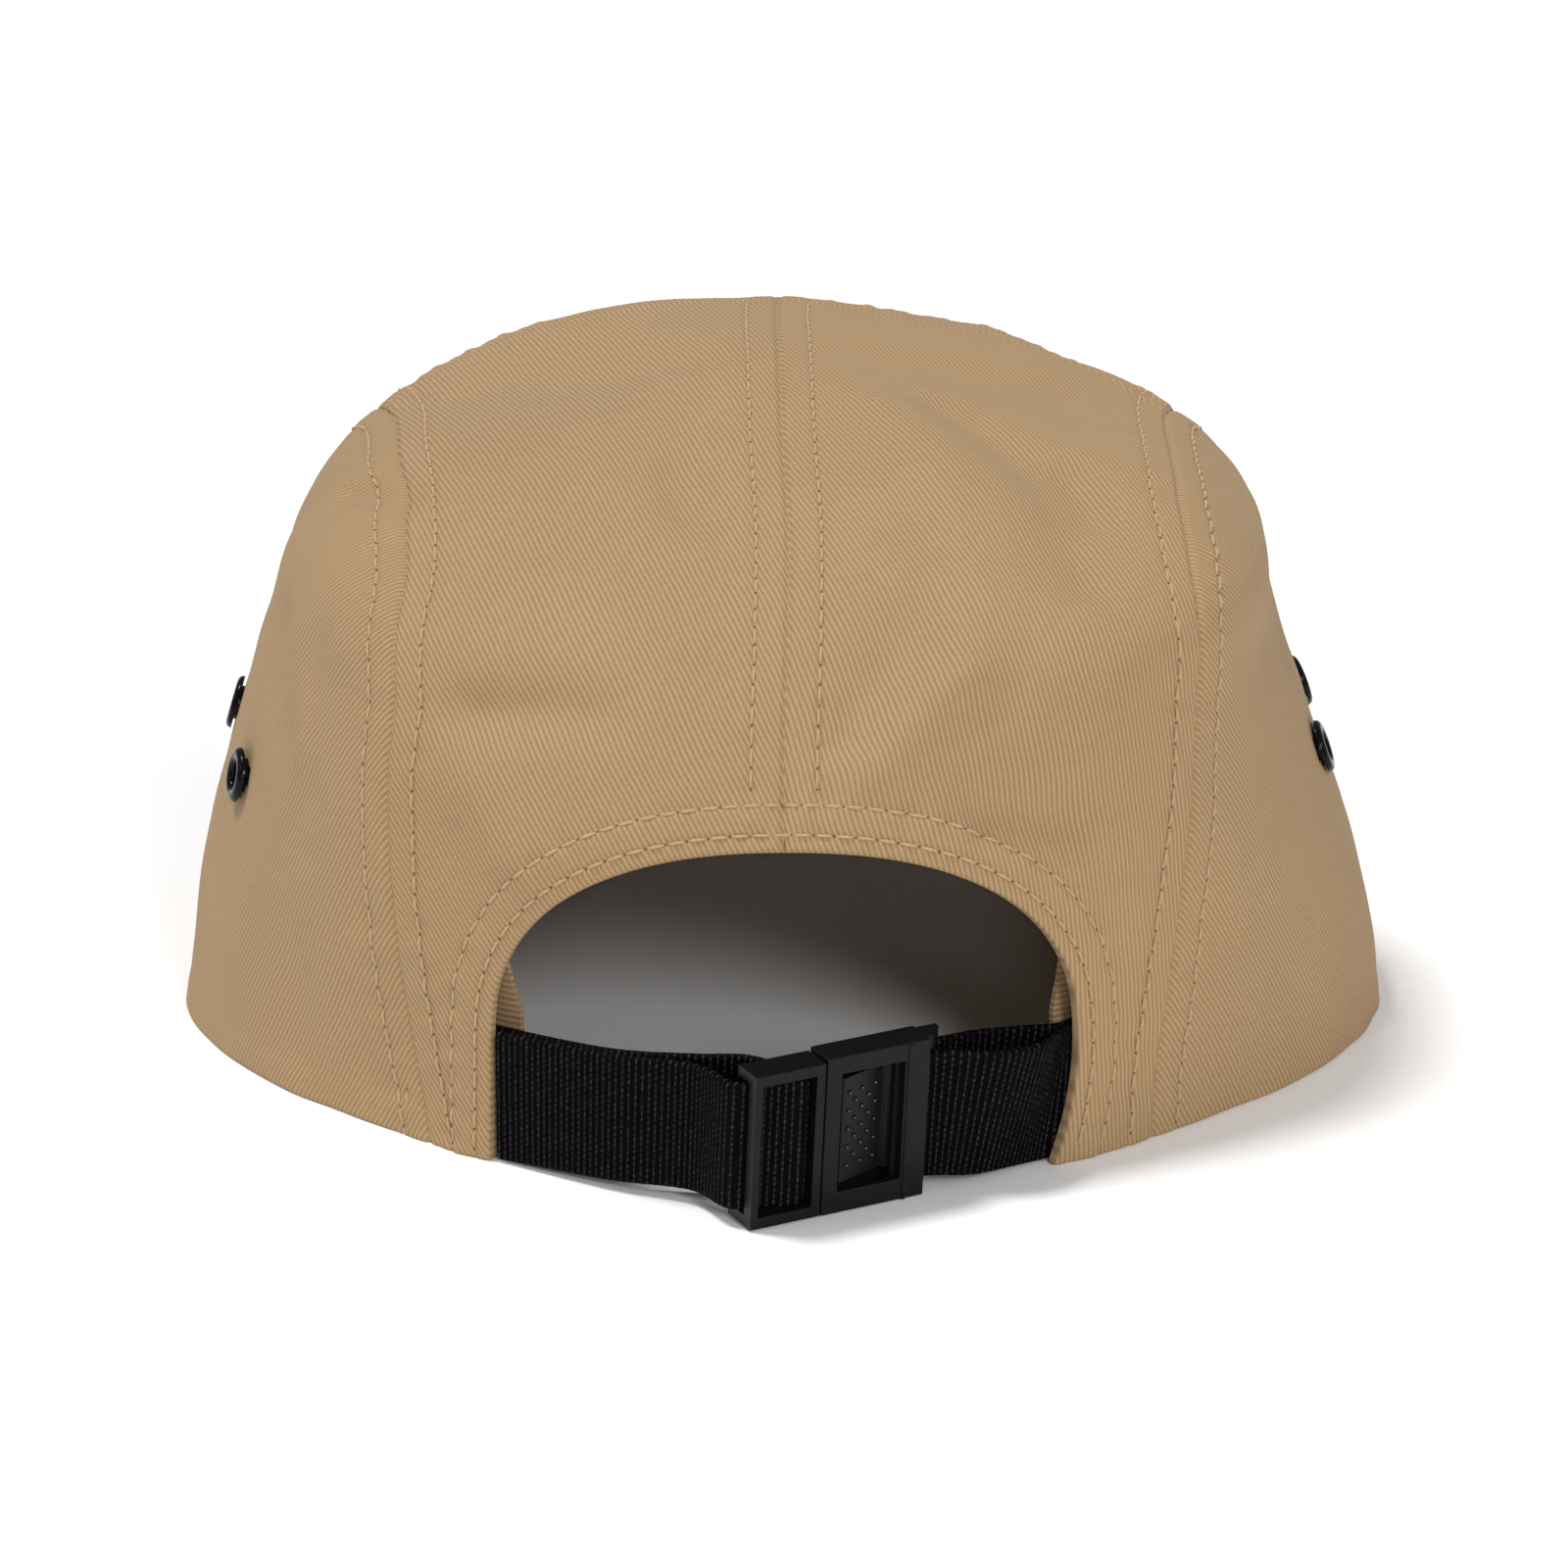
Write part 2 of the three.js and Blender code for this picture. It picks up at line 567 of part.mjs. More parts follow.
// Left half: from under the left panel it sags in behind the clip, goes round its crossbar, and
// comes back behind the clip's front bar, on the outside of itself, to a folded end.
function strapLeft() {
  const half = archWidth / 2;
  const low = (insertHeight - strapWidth) / 2;
  const [tuckEnd, tuckMiddle, exit] = [strapTuck, strapTuck / 2, 0].map((tuck) => (
    underPanel(half + tuck, half + tuck, outerPlyDepth)));
  const besideClip = throughClip(-1, clipDepth + pieceGap * 2, low);
  const behindBar = insertBarDepth + pieceGap + strapThickness / 2;
  const tailBeside = throughClip(-1, behindBar + ply / 2, low);
  const tailEnd = underPanel(half - tailGap, half - tailGap, outerPlyDepth - ply - tailEase);
  const inner = [[0.5, leftSag], [0.76, innerSag * 0.62], [0.91, innerSag]]
    .map(([share, sag]) => onTheWay(exit, besideClip, share, -sag, -sag));
  const outer = [[0.77, tailSag], [0.47, leftSag]]
    .map(([share, sag]) => onTheWay(tailEnd, tailBeside, share, -sag, -sag));
  return webbingStrip([tuckEnd, tuckMiddle, exit, ...inner,
    ...roundBar(crossbarInset, crossbarDepth, 1, low, [30, 70, 110, 150, 180]),
    throughClip(insertBar * 2.5, behindBar - ply / 5, low), tailBeside, ...outer, tailEnd]);
}

// Right half: a loop round the clip's end bar with both of its ends under the right panel. Its
// outer side bulges, its upper edge the most, and its inner side sags.
function strapRight() {
  const low = lowerRail + pieceGap;
  const half = archWidth / 2;
  const [outerRails, innerRails] = [outerPlyDepth, outerPlyDepth + ply].map((depth) => [
    underPanel(-half - strapTuck, -half - strapTuck, depth), underPanel(-half, -half, depth),
    underPanel(-half + rightFootTurnIn + 1, -half + 1, depth)]);
  const outsideClip = endBarLength + endBarInset + 1;
  const clipOuter = throughClip(outsideClip, plateThickness + pieceGap + strapThickness / 2, low);
  const clipInner = throughClip(outsideClip, endBarDepth + ply, low);
  const outer = [[0.3, rightTwist + 1, 0.5], [0.62, rightTwist, 0]]
    .map(([share, lowLess, highLess]) => (
      onTheWay(outerRails[2], clipOuter, share, rightBulge - lowLess, rightBulge - highLess)));
  const inner = onTheWay(innerRails[2], clipInner, 0.5, -rightSag, -rightSag);
  return webbingStrip([...outerRails, ...outer, clipOuter,
    ...roundBar(endBarLength, endBarDepth, -1, low, [180, 135, 90, 45, 0]),
    clipInner, inner, ...innerRails.reverse()]);
}

// Joining and cutting.
function toSolid(geometry) {
  const plain = geometry.clone();
  plain.deleteAttribute('normal');
  plain.deleteAttribute('uv');
  const merged = mergeVertices(plain, 1e-4);
  return new wasm.Manifold(new wasm.Mesh({
    numProp: 3,
    vertProperties: new Float32Array(merged.attributes.position.array),
    triVerts: new Uint32Array(merged.index.array),
  }));
}
function toGeometry(solid) {
  const mesh = solid.getMesh();
  const geometry = new THREE.BufferGeometry();
  geometry.setAttribute('position', new THREE.BufferAttribute(new Float32Array(mesh.vertProperties), 3));
  geometry.setIndex(new THREE.BufferAttribute(new Uint32Array(mesh.triVerts), 1));
  return geometry;
}

// A block in the clip's frame, between two lengths, depths and heights.
function block([l0, l1], [d0, d1], [h0, h1]) {
  const geometry = new THREE.BoxGeometry(l1 - l0, d1 - d0, h1 - h0);
  return toSolid(geometry.translate((l0 + l1) / 2, (d0 + d1) / 2, (h0 + h1) / 2));
}
function uprightBar(length, depth, [h0, h1]) {
  const geometry = new THREE.CylinderGeometry(crossbarRadius, crossbarRadius, h1 - h0, 12);
  return toSolid(geometry.rotateX(Math.PI / 2).translate(length, depth, (h0 + h1) / 2));
}

// The insert: an open frame with a crossbar for the strap, and a plug with a sprung thumb tongue
// that shows in the receiver's window.
function clipInsert() {
  const top = insertHeight;
  const rail = railThickness;
  const webStart = insertLength - insertWeb;
  const plugDepth = [plateThickness + pieceGap, clipDepth - backPlate - pieceGap];
  const plugHeight = [rail + pieceGap, top - rail - pieceGap];
  const start = windowStart + tongueGap;
  const end = windowStart + windowLength - tongueGap;
  const stepDepth = plugDepth[0] + tongueGap;
  const lipFront = tongueDip - tongueLipRise;
  const profile = [[start - windowInset, plugDepth[1]], [start - windowInset, stepDepth], [start, stepDepth],
    [start, tongueFront], [start + tongueGap, tongueFront], [end - tongueLip - tongueGap, tongueDip],
    [end - tongueLip, lipFront], [end, lipFront], [end, plugDepth[1]]];
  const span = [windowMargin + tongueSideGap, top - windowTopMargin - tongueSideGap];
  const tongue = new THREE.ExtrudeGeometry(new THREE.Shape(profile.map(([x, y]) => new THREE.Vector2(x, y))),
    { depth: span[1] - span[0], bevelEnabled: false }).translate(0, 0, span[0]);
  return toGeometry(block([0, insertBar], [0, insertBarDepth], [0, top])
    .add(block([0, insertLength], [0, clipDepth], [top - rail, top]))
    .add(block([0, insertLength], [0, footDepth], [0, rail]))
    .add(block([webStart, insertLength], [0, clipDepth], [0, top]))
    .add(uprightBar(crossbarInset, crossbarDepth, [rail / 2, top - rail / 2]))
    .add(block([webStart, start - windowInset + tongueGap], plugDepth, plugHeight))
    .add(toSolid(tongue)));
}

// The receiver: a flat sleeve with the window in its front plate and an end bar for the strap.
function clipReceiver() {
  const end = receiverStart + receiverLength;
  const low = -Math.min(receiverRise, clipLift / 2);
  const high = insertHeight + receiverRise;
  const past = 1;
  const inside = [lowerRail, insertHeight - railThickness];
  return toGeometry(block([receiverStart, end], [0, clipDepth], [low, high])
    .subtract(block([receiverStart - past, end + past], [plateThickness, clipDepth - backPlate], inside))
    .subtract(block([end - backCut, end + past], [plateThickness, clipDepth + past], inside))
    .subtract(block([windowStart, windowStart + windowLength], [-past, plateThickness + past],
      [windowMargin, insertHeight - windowTopMargin]))
    .add(uprightBar(endBarLength, endBarDepth, [lowerRail / 2, insertHeight - railThickness / 2])));
}

// An eyelet: a tube through the cloth with a rounded flange outside and a flat one inside.
function eyeletBody() {
  const hole = eyeletHole / 2;
  const tube = eyeletBarrel / 2;
  const rim = eyeletOuter / 2;
  const outside = eyeletSeat;
  const inside = -clothWall - eyeletSeat;
  const crest = outside + eyeletStand;
  const profile = [[hole, inside - 0.6], [rim * 0.86, inside - 0.6], [rim * 0.86, inside],
    [tube, inside], [tube, outside], [rim, outside], [rim - 0.25, outside + eyeletStand * 0.6],
    [(rim + hole) / 2, crest], [hole + 0.2, outside + eyeletStand * 0.7], [hole, inside - 0.6]];
  return new THREE.LatheGeometry(profile.map(([x, y]) => new THREE.Vector2(x, y)), 14).rotateX(Math.PI / 2);
}
function seatEyelet(object, { side, along, height }) {
  const place = placeAtSide(along, height, side);
  const direction = clothOutward(...place);
  object.position.copy(crown(...place));
  object.quaternion.setFromUnitVectors(vec(0, 0, 1), direction);
  object.updateMatrixWorld();
  return object;
}
// A side panel with the holes that its eyelets pass through.
function piercedPanel(panel, side) {
  const hole = new THREE.CylinderGeometry(eyeletBarrel / 2 + pieceGap, eyeletBarrel / 2 + pieceGap,
    clothWall * 4, 14).rotateX(Math.PI / 2);
  const solid = eyelets.filter((eyelet) => eyelet.side === side).reduce((body, eyelet) => {
    const seat = seatEyelet(new THREE.Object3D(), eyelet);
    return body.subtract(toSolid(hole.clone().applyMatrix4(seat.matrixWorld)));
  }, toSolid(panel));
  return toGeometry(solid);
}

const cap = new THREE.Group();
function piece(name, geometry, material, parent = cap) {
  const mesh = new THREE.Mesh(geometry, material);
  mesh.name = name;
  parent.add(mesh);
  return mesh;
}

piece('front_panel', frontPanel(), cloth);
piece('side_panel_left', piercedPanel(sidePanel(sideSeamLeft), 1), cloth);
piece('side_panel_right', piercedPanel(sidePanel(sideSeamRight), -1), cloth);
piece('back_panel_left', backPanel(1, sideSeamLeft), cloth);
piece('back_panel_right', backPanel(-1, sideSeamRight), cloth);
piece('peak', peak(), cloth);
piece('sweatband', sweatband(), bandCloth);
piece('strap_left', strapLeft(), webbing);
piece('strap_right', strapRight(), webbing);
piece('buckle_insert', clipInsert(), plastic, clipFrame);
piece('buckle_receiver', clipReceiver(), plastic, clipFrame);
cap.add(clipFrame);
eyelets.forEach((eyelet) => seatEyelet(piece(eyelet.name, eyeletBody(), enamel), eyelet));

// The origin is the middle of the cap's footprint, on the surface that it rests on.
cap.updateMatrixWorld(true);
const bounds = new THREE.Box3().setFromObject(cap, true);
const middle = bounds.getCenter(vec());
cap.position.set(-middle.x, -middle.y, -bounds.min.z);

export default cap;
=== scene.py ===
import math

import bmesh
import bpy
import numpy as np
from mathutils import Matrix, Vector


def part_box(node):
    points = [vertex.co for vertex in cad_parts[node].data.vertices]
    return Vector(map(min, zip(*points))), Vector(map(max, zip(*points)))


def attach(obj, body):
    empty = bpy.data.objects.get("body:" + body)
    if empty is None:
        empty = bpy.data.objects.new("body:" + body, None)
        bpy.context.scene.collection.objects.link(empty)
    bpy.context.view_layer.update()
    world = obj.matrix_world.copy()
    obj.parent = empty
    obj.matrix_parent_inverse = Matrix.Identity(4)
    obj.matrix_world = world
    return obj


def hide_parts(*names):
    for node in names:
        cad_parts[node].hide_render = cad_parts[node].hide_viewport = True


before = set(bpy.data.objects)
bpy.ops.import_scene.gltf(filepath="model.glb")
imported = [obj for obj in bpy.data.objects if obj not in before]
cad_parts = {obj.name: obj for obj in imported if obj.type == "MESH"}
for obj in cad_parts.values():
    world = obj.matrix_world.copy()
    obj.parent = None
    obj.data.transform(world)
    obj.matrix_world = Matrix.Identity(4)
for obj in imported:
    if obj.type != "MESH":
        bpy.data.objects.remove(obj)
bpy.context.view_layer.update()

# Crown: five panels cut from washed cotton twill and sewn into one low crown that stands on its
# hem. The seam allowances are pressed to both sides and held by a row of topstitches each side,
# and the edge of the opening at the back is turned in and held by two rows.
mm = 0.001
crown_width = 186.6
crown_length = 169.5
crown_height = 104
cloth_wall = 1.2
peak_thickness = 2.6
piece_gap = 0.3
peak_end_turn = math.radians(55)
front_lift = (peak_thickness + piece_gap) / math.cos(peak_end_turn) ** 2

# Level rings from the top to the hem: the reach to the side and the lean, as shares of half the
# width; the middle and the reaches to the back and front, of the length; the rises at the side,
# back and front, of the height; and how square the ring is behind and ahead of its middle.
rings = np.array([
    [0.000, 0.016, -0.047, 0.000, 0.000, 0.990, 0.990, 0.990, 2.00, 2.00],
    [0.322, 0.016, -0.047, 0.136, 0.130, 0.942, 0.940, 1.002, 2.10, 2.10],
    [0.614, 0.010, -0.053, 0.265, 0.242, 0.882, 0.861, 0.986, 2.55, 2.45],
    [0.777, 0.012, -0.059, 0.372, 0.319, 0.766, 0.755, 0.880, 2.75, 2.60],
    [0.830, 0.017, -0.065, 0.440, 0.372, 0.615, 0.615, 0.731, 2.40, 2.40],
    [0.884, 0.017, -0.065, 0.478, 0.419, 0.462, 0.462, 0.558, 2.10, 2.30],
    [0.939, 0.010, -0.059, 0.496, 0.460, 0.308, 0.308, 0.385, 1.85, 2.20],
    [0.981, 0.002, -0.047, 0.499, 0.490, 0.154, 0.154, 0.222, 1.68, 2.10],
    [1.000, 0.000, -0.035, 0.493, 0.507, 0.000, 0.000, front_lift / crown_height, 1.60, 2.10],
])
# The same ring seen from the far side of the top: its columns change places and signs.
far_columns = [0, 1, 2, 4, 3, 5, 7, 6, 8, 9]
far_signs = np.array([-1, 1, 1, -1, -1, 1, 1, 1, 1, 1])

# Folds and dents: from a place on the crown laid out as a disc (across, along) to another, with
# their width as a share of the disc's radius and their height as a share of the crown's width.
folds = np.array([
    [0.455, 0.140, 0.505, 0.250, 0.040, -0.0090],
    [0.425, 0.200, 0.475, 0.310, 0.035, 0.0045],
    [0.236, 0.140, 0.300, 0.080, 0.018, -0.0075],
    [0.059, 0.165, 0.052, 0.225, 0.021, -0.0080],
    [0.255, 0.401, 0.161, 0.436, 0.034, -0.0115],
    [0.291, 0.479, 0.286, 0.556, 0.045, 0.0065],
    [-0.072, 0.070, -0.130, 0.230, 0.026, 0.0060],
    [-0.110, 0.050, -0.205, 0.265, 0.020, -0.0080],
    [-0.178, 0.135, -0.196, 0.180, 0.019, -0.0115],
    [-0.138, 0.277, -0.147, 0.399, 0.028, 0.0065],
    [-0.147, 0.399, -0.096, 0.506, 0.030, 0.0085],
    [-0.104, 0.334, -0.067, 0.480, 0.028, -0.0080],
    [-0.305, 0.508, -0.222, 0.530, 0.038, -0.0110],
    [-0.530, -0.020, -0.470, 0.160, 0.050, -0.0070],
    [-0.095, -0.210, -0.155, -0.205, 0.085, -0.0125],
])

# Seams on the same disc, from the hem beside the opening to the hem in front.
side_seam_left = np.array([
    [0.612, 0.791], [0.571, 0.688], [0.502, 0.572], [0.390, 0.425], [0.315, 0.342], [0.250, 0.245],
    [0.236, 0.140], [0.252, 0.040], [0.270, -0.120],
    [0.340, -0.270], [0.460, -0.410], [0.600, -0.525], [0.766, -0.643],
])
side_seam_right = np.array([
    [-0.640, 0.768], [-0.580, 0.670], [-0.528, 0.545], [-0.455, 0.415], [-0.370, 0.310],
    [-0.300, 0.245], [-0.262, 0.140], [-0.266, 0.010], [-0.270, -0.120],
    [-0.340, -0.270], [-0.460, -0.410], [-0.600, -0.525], [-0.766, -0.643],
])
corner_point = 8
front_seam_middle = np.array([0, -0.235])
arch_width = 86
arch_height = 50.5
arch_leg = 19
arch_squareness = 2.3
right_foot_turn_in = 3.5


def unit(vectors):
    """The vectors at length one."""
    return vectors / np.maximum(np.linalg.norm(vectors, axis=-1, keepdims=True), 1e-12)


def smooth_rows(rows_at, place):
    """A smooth curve through numbered rows at a place between them: the cubic whose slope at each
    row is half the step from the row before to the row after."""
    index = np.floor(place).astype(int)
    f = (place - index)[..., None]
    a, b, c, d = (rows_at(index + step) for step in (-1, 0, 1, 2))
    return b + 0.5 * f * (c - a + f * (2 * a - 5 * b + 4 * c - d + f * (3 * (b - c) + d - a)))


def ring_rows(index):
    """Rows of the ring table, past the top as the far side's and past the hem in a straight line."""
    last = len(rings) - 1
    rows = rings[np.clip(np.abs(index), 0, last)]
    rows = np.where((index < 0)[..., None], rows[..., far_columns] * far_signs, rows)
    return np.where((index > last)[..., None], 2 * rings[last] - rings[last - 1], rows)


def smooth_crown(place):
    """The crown without folds: at the share of the way out from the top, a level ring that is a
    rounded box (powers of sine and cosine add up to one), higher or lower at its back and front
    than at its sides by the squared share of the way back."""
    out = np.clip(np.hypot(place[..., 0], place[..., 1]), 0, 1) * (len(rings) - 1)
    ring = smooth_rows(ring_rows, np.minimum(out, len(rings) - 1 - 1e-9))
    side, lean, middle, back, front, rise_side, rise_back, rise_front, square_back, square_front = (
        np.moveaxis(ring, -1, 0))
    turn = np.arctan2(place[..., 0], place[..., 1])
    behind = np.cos(turn) >= 0
    square = np.where(behind, square_back, square_front)
    reach = (np.abs(np.sin(turn)) ** square + np.abs(np.cos(turn)) ** square) ** (-1 / square)
    rise = np.where(behind, rise_back, rise_front)
    return np.stack([
        crown_width / 2 * (lean + side * np.sin(turn) * reach),
        crown_length * (middle + np.where(behind, back, front) * np.cos(turn) * reach),
        crown_height * (rise_side + (rise - rise_side) * (np.cos(turn) * reach) ** 2),
    ], -1)


def outward(surface, place):
    """The outward direction of a surface: the cross product of its slopes across and along."""
    across, along = np.array([0.002, 0]), np.array([0, 0.002])
    return unit(np.cross(surface(place + across) - surface(place - across),
                         surface(place + along) - surface(place - along)))


def fold_height(place):
    """The sum over the folds of their height times a bell of the distance from their line, fading
    out before the hem."""
    start, run = folds[:, :2], folds[:, 2:4] - folds[:, :2]
    offset = place[..., None, :] - start
    share = np.clip((offset * run).sum(-1) / (run * run).sum(-1), 0, 1)
    away = np.linalg.norm(offset - share[..., None] * run, axis=-1)
    total = (folds[:, 5] * np.exp(-(away / folds[:, 4]) ** 2)).sum(-1)
    return crown_width * total * np.clip((1 - np.hypot(place[..., 0], place[..., 1])) / 0.15, 0, 1)


def crown(place):
    """The crown's outer face: the smooth crown pushed outwards by the folds."""
    return smooth_crown(place) + outward(smooth_crown, place) * fold_height(place)[..., None]


def cloth_outward(place):
    """The cloth's outward direction, level at the hem."""
    direction = outward(crown, place)
    level = np.hypot(place[..., 0], place[..., 1]) > 0.999
    direction[..., 2] = np.where(level, 0, direction[..., 2])
    return unit(direction)


def find_place(columns, wanted, guess):
    """The disc places where two coordinates of the smooth crown have the wanted values, by
    Newton's rule with slopes from small steps."""
    place = np.array(guess, float)
    for _ in range(20):
        here = smooth_crown(place)[..., columns]
        steps = np.where(place > 0, -0.001, 0.001)[..., None] * np.eye(2)
        slope = np.stack([(smooth_crown(place + steps[..., k, :])[..., columns] - here)
                          / steps[..., k, k][..., None] for k in (0, 1)], -1)
        move = np.linalg.solve(slope, (wanted - here)[..., None])[..., 0]
        place = place + np.clip(move, -0.1, 0.1)
        place = place / np.maximum(np.hypot(place[..., 0], place[..., 1]), 1)[..., None]
    return place


def hem_place(turn):
    """The rim of the disc at an angle from the back centre."""
    return np.stack([np.sin(turn), np.cos(turn)], -1)


def turn_of(place):
    """A place's angle from the back centre."""
    return np.arctan2(place[..., 0], place[..., 1])


def seam_line(seam, place):
    """The smooth curve through a seam's points, at places counted in points."""
    last = len(seam) - 1
    return smooth_rows(lambda i: seam[np.clip(i, 0, last)], np.clip(place, 0, last - 1e-9))


def arch_edge(side, share):
    """The opening's edge from its foot to its top: a leg that turns in at the right foot, then a
    bow whose sine and cosine are raised to two over its squareness."""
    half = arch_width / 2
    turn_in = right_foot_turn_in if side < 0 else 0
    turns = side * np.linspace(0.2, 1.2, 4001)
    foot_x = side * smooth_crown(hem_place(turns))[:, 0]
    foot = hem_place(np.interp(half - turn_in, foot_x, turns))
    leg_share = np.array([1, 2]) / 3
    swing = np.linspace(0, np.pi / 2, 11)
    x = np.concatenate([half - turn_in * (1 - leg_share) ** 2,
                        half * np.maximum(np.cos(swing), 0) ** (2 / arch_squareness)])
    z = np.concatenate([arch_leg * leg_share, arch_leg
                        + (arch_height - arch_leg) * np.sin(swing) ** (2 / arch_squareness)])
    wanted = np.stack([side * x, z], -1)
    guess = np.stack([side * x / crown_width, np.full(len(x), 0.75)], -1)
    places = np.concatenate([foot[None], find_place([0, 2], wanted, guess)])
    return seam_line(places, share * (len(places) - 1))


def gathered(count):
    """Shares from 0 to 1, closer together at both ends: the even share less a sine of it."""
    even = np.linspace(0, 1, count + 1)
    return even - 0.5 * np.sin(2 * np.pi * even) / (2 * np.pi)


def fill_grid(bottom, top, left, right, u, v):
    """Places between four edges: the mixes of the opposite edges, less the mix of the corners."""
    u, v = u[None, :, None], v[:, None, None]
    return ((1 - v) * bottom[None] + v * top[None] + (1 - u) * left[:, None] + u * right[:, None]
            - (1 - u) * (1 - v) * bottom[0] - u * (1 - v) * bottom[-1]
            - (1 - u) * v * top[0] - u * v * top[-1])


def half_front_seam(corner, share):
    """Half of the front seam, from the corner to the middle, bowed towards the front."""
    bow = [(corner[0] + front_seam_middle[0]) * 0.52, front_seam_middle[1] * 0.86]
    return seam_line(np.array([corner, bow, front_seam_middle]), 2 * share)


# Steps of the coarse solids that the seams' shares follow: up to the shoulder, over it, and down.
back_rise, shoulder, brow = 16, 10, 6


def back_seam(seam, share):
    """The side seam from the back hem to the corner."""
    return seam_line(seam, corner_point * share)


def front_seam(seam, share):
    """The side seam from the corner to the front hem."""
    return seam_line(seam, corner_point + (len(seam) - 1 - corner_point) * share)


def back_grid(side, seam, columns, rows):
    """Places of a back panel, between its side seam, the opening and centre seam, the hem and the
    front seam."""
    u, v = gathered(columns), gathered(rows)
    left = back_seam(seam, v)
    left[0] = hem_place(turn_of(left[0]))
    arch_top = arch_edge(side, np.array([1.0]))[0]
    over = np.clip(2 * v - 1, 0, 1)[:, None]
    right = np.where(over > 0, arch_top + (front_seam_middle - arch_top) * over,
                     arch_edge(side, np.clip(2 * v, 0, 1)))
    bottom = hem_place(turn_of(left[0]) + (turn_of(right[0]) - turn_of(left[0])) * u)
    return fill_grid(bottom, half_front_seam(seam[corner_point], u), left, right, u, v)


def side_grid(seam, columns, rows):
    """Places of a side panel, inside one long seam that rises, passes the corner and falls."""
    u, v = gathered(columns), gathered(rows)
    rise = back_rise / (back_rise + shoulder)
    fall = brow / (back_rise + brow)
    left = back_seam(seam, rise * v)
    right = front_seam(seam, 1 - (1 - fall) * v)
    steps = u[:, None] * (shoulder + brow)
    top = np.where(steps < shoulder, back_seam(seam, rise + (1 - rise) * steps[:, 0] / shoulder),
                   front_seam(seam, np.clip(fall * (steps[:, 0] - shoulder) / brow, 0, 1)))
    left[0], right[0] = hem_place(turn_of(left[0])), hem_place(turn_of(right[0]))
    bottom = hem_place(turn_of(left[0]) + (turn_of(right[0]) - turn_of(left[0])) * u)
    return fill_grid(bottom, top, left, right, u, v)


def front_grid(columns, rows):
    """Places of the front panel, between both side seams, the hem and the front seam."""
    u, v = gathered(columns), gathered(rows)
    left, right = (front_seam(seam, 1 - v) for seam in (side_seam_left, side_seam_right))
    left[0], right[0] = hem_place(turn_of(left[0])), hem_place(turn_of(right[0]))
    top = np.where(u[:, None] < 0.5,
                   half_front_seam(side_seam_left[corner_point], np.clip(2 * u, 0, 1)),
                   half_front_seam(side_seam_right[corner_point], np.clip(2 - 2 * u, 0, 1)))
    from_turn, to_turn = turn_of(left[0]), 2 * np.pi + turn_of(right[0])
    return fill_grid(hem_place(from_turn + (to_turn - from_turn) * u), top, left, right, u, v)


class Line:
    """A seam or edge on the crown: its points, their outward directions and their arc lengths."""

    def __init__(self, places):
        self.places = places
        self.points = crown(places)
        self.normals = cloth_outward(places)
        steps = np.linalg.norm(np.diff(self.points, axis=0), axis=1)
        self.arc = np.concatenate([[0], np.cumsum(steps)])
        self.tangents = unit(np.gradient(self.points, axis=0))

    def near(self, points):
        """How far points lie from the line and how far along it: the nearest point of the line,
        corrected along its tangent."""
        flat = points.reshape(-1, 3)
        gaps = ((flat ** 2).sum(1)[:, None] + (self.points ** 2).sum(1)
                - 2 * flat @ self.points.T)
        index = gaps.argmin(1)
        rest = flat - self.points[index]
        along = (rest * self.tangents[index]).sum(1)
        ends = (index == 0) | (index == len(self.points) - 1)
        away = np.sqrt(np.maximum((rest ** 2).sum(1) - np.where(ends, 0, along ** 2), 0))
        return away.reshape(points.shape[:-1]), (self.arc[index] + along).reshape(points.shape[:-1])


fine = np.linspace(0, 1, 300)
arch_left, arch_right = arch_edge(1, fine), arch_edge(-1, fine)
centre_run = arch_left[-1] + (front_seam_middle - arch_left[-1]) * fine[:, None]
lines = {
    "seam_left": Line(np.concatenate([back_seam(side_seam_left, fine),
                                      front_seam(side_seam_left, fine[1:])])),
    "seam_right": Line(np.concatenate([back_seam(side_seam_right, fine),
                                       front_seam(side_seam_right, fine[1:])])),
    "seam_centre": Line(centre_run),
    "seam_front": Line(np.concatenate([half_front_seam(side_seam_left[corner_point], fine),
                                       half_front_seam(side_seam_right[corner_point], 1 - fine[1:])])),
    "arch": Line(np.concatenate([arch_left, arch_right[::-1][1:]])),
    "hem": Line(hem_place(np.linspace(-np.pi, np.pi, 900))),
}

# The relief beside them: how far away the rows of stitches lie, how high the folded edges and the
# allowances under the cloth lift it, and the puckers across the rows.
seam_row = 4.8
seam_lift = 0.24
seam_dip = 0.5
seam_dip_width = 0.55
seam_pucker = 0.14
seam_pucker_wave = 6.3
arch_rows = (2.55, 6.9)
arch_lift = 0.5
arch_pucker = 0.20
arch_pucker_wave = 5.2
hem_lift = 0.2
hem_fold = 4.5
edge_rounding = 0.8
edge_fall = 0.6
groove_depth = 0.18
groove_width = 0.5


def step_down(distance, at, width):
    """One before a distance and nought after it, as a smooth step of that width."""
    share = np.clip((at - distance) / width + 0.5, 0, 1)
    return share * share * (3 - 2 * share)


def bell(distance, width):
    """One at no distance, falling as the exponent of minus its square over the width's square."""
    return np.exp(-(distance / width) ** 2)


def row_groove(away, row):
    """The groove that a row of stitches pulls into the cloth."""
    return -groove_depth * bell(away - row, groove_width)


def round_edge(away):
    """How far a folded edge falls off, as a quarter of an ellipse."""
    share = np.clip(1 - away / edge_rounding, 0, 1)
    return edge_fall * (1 - np.sqrt(1 - share ** 2))


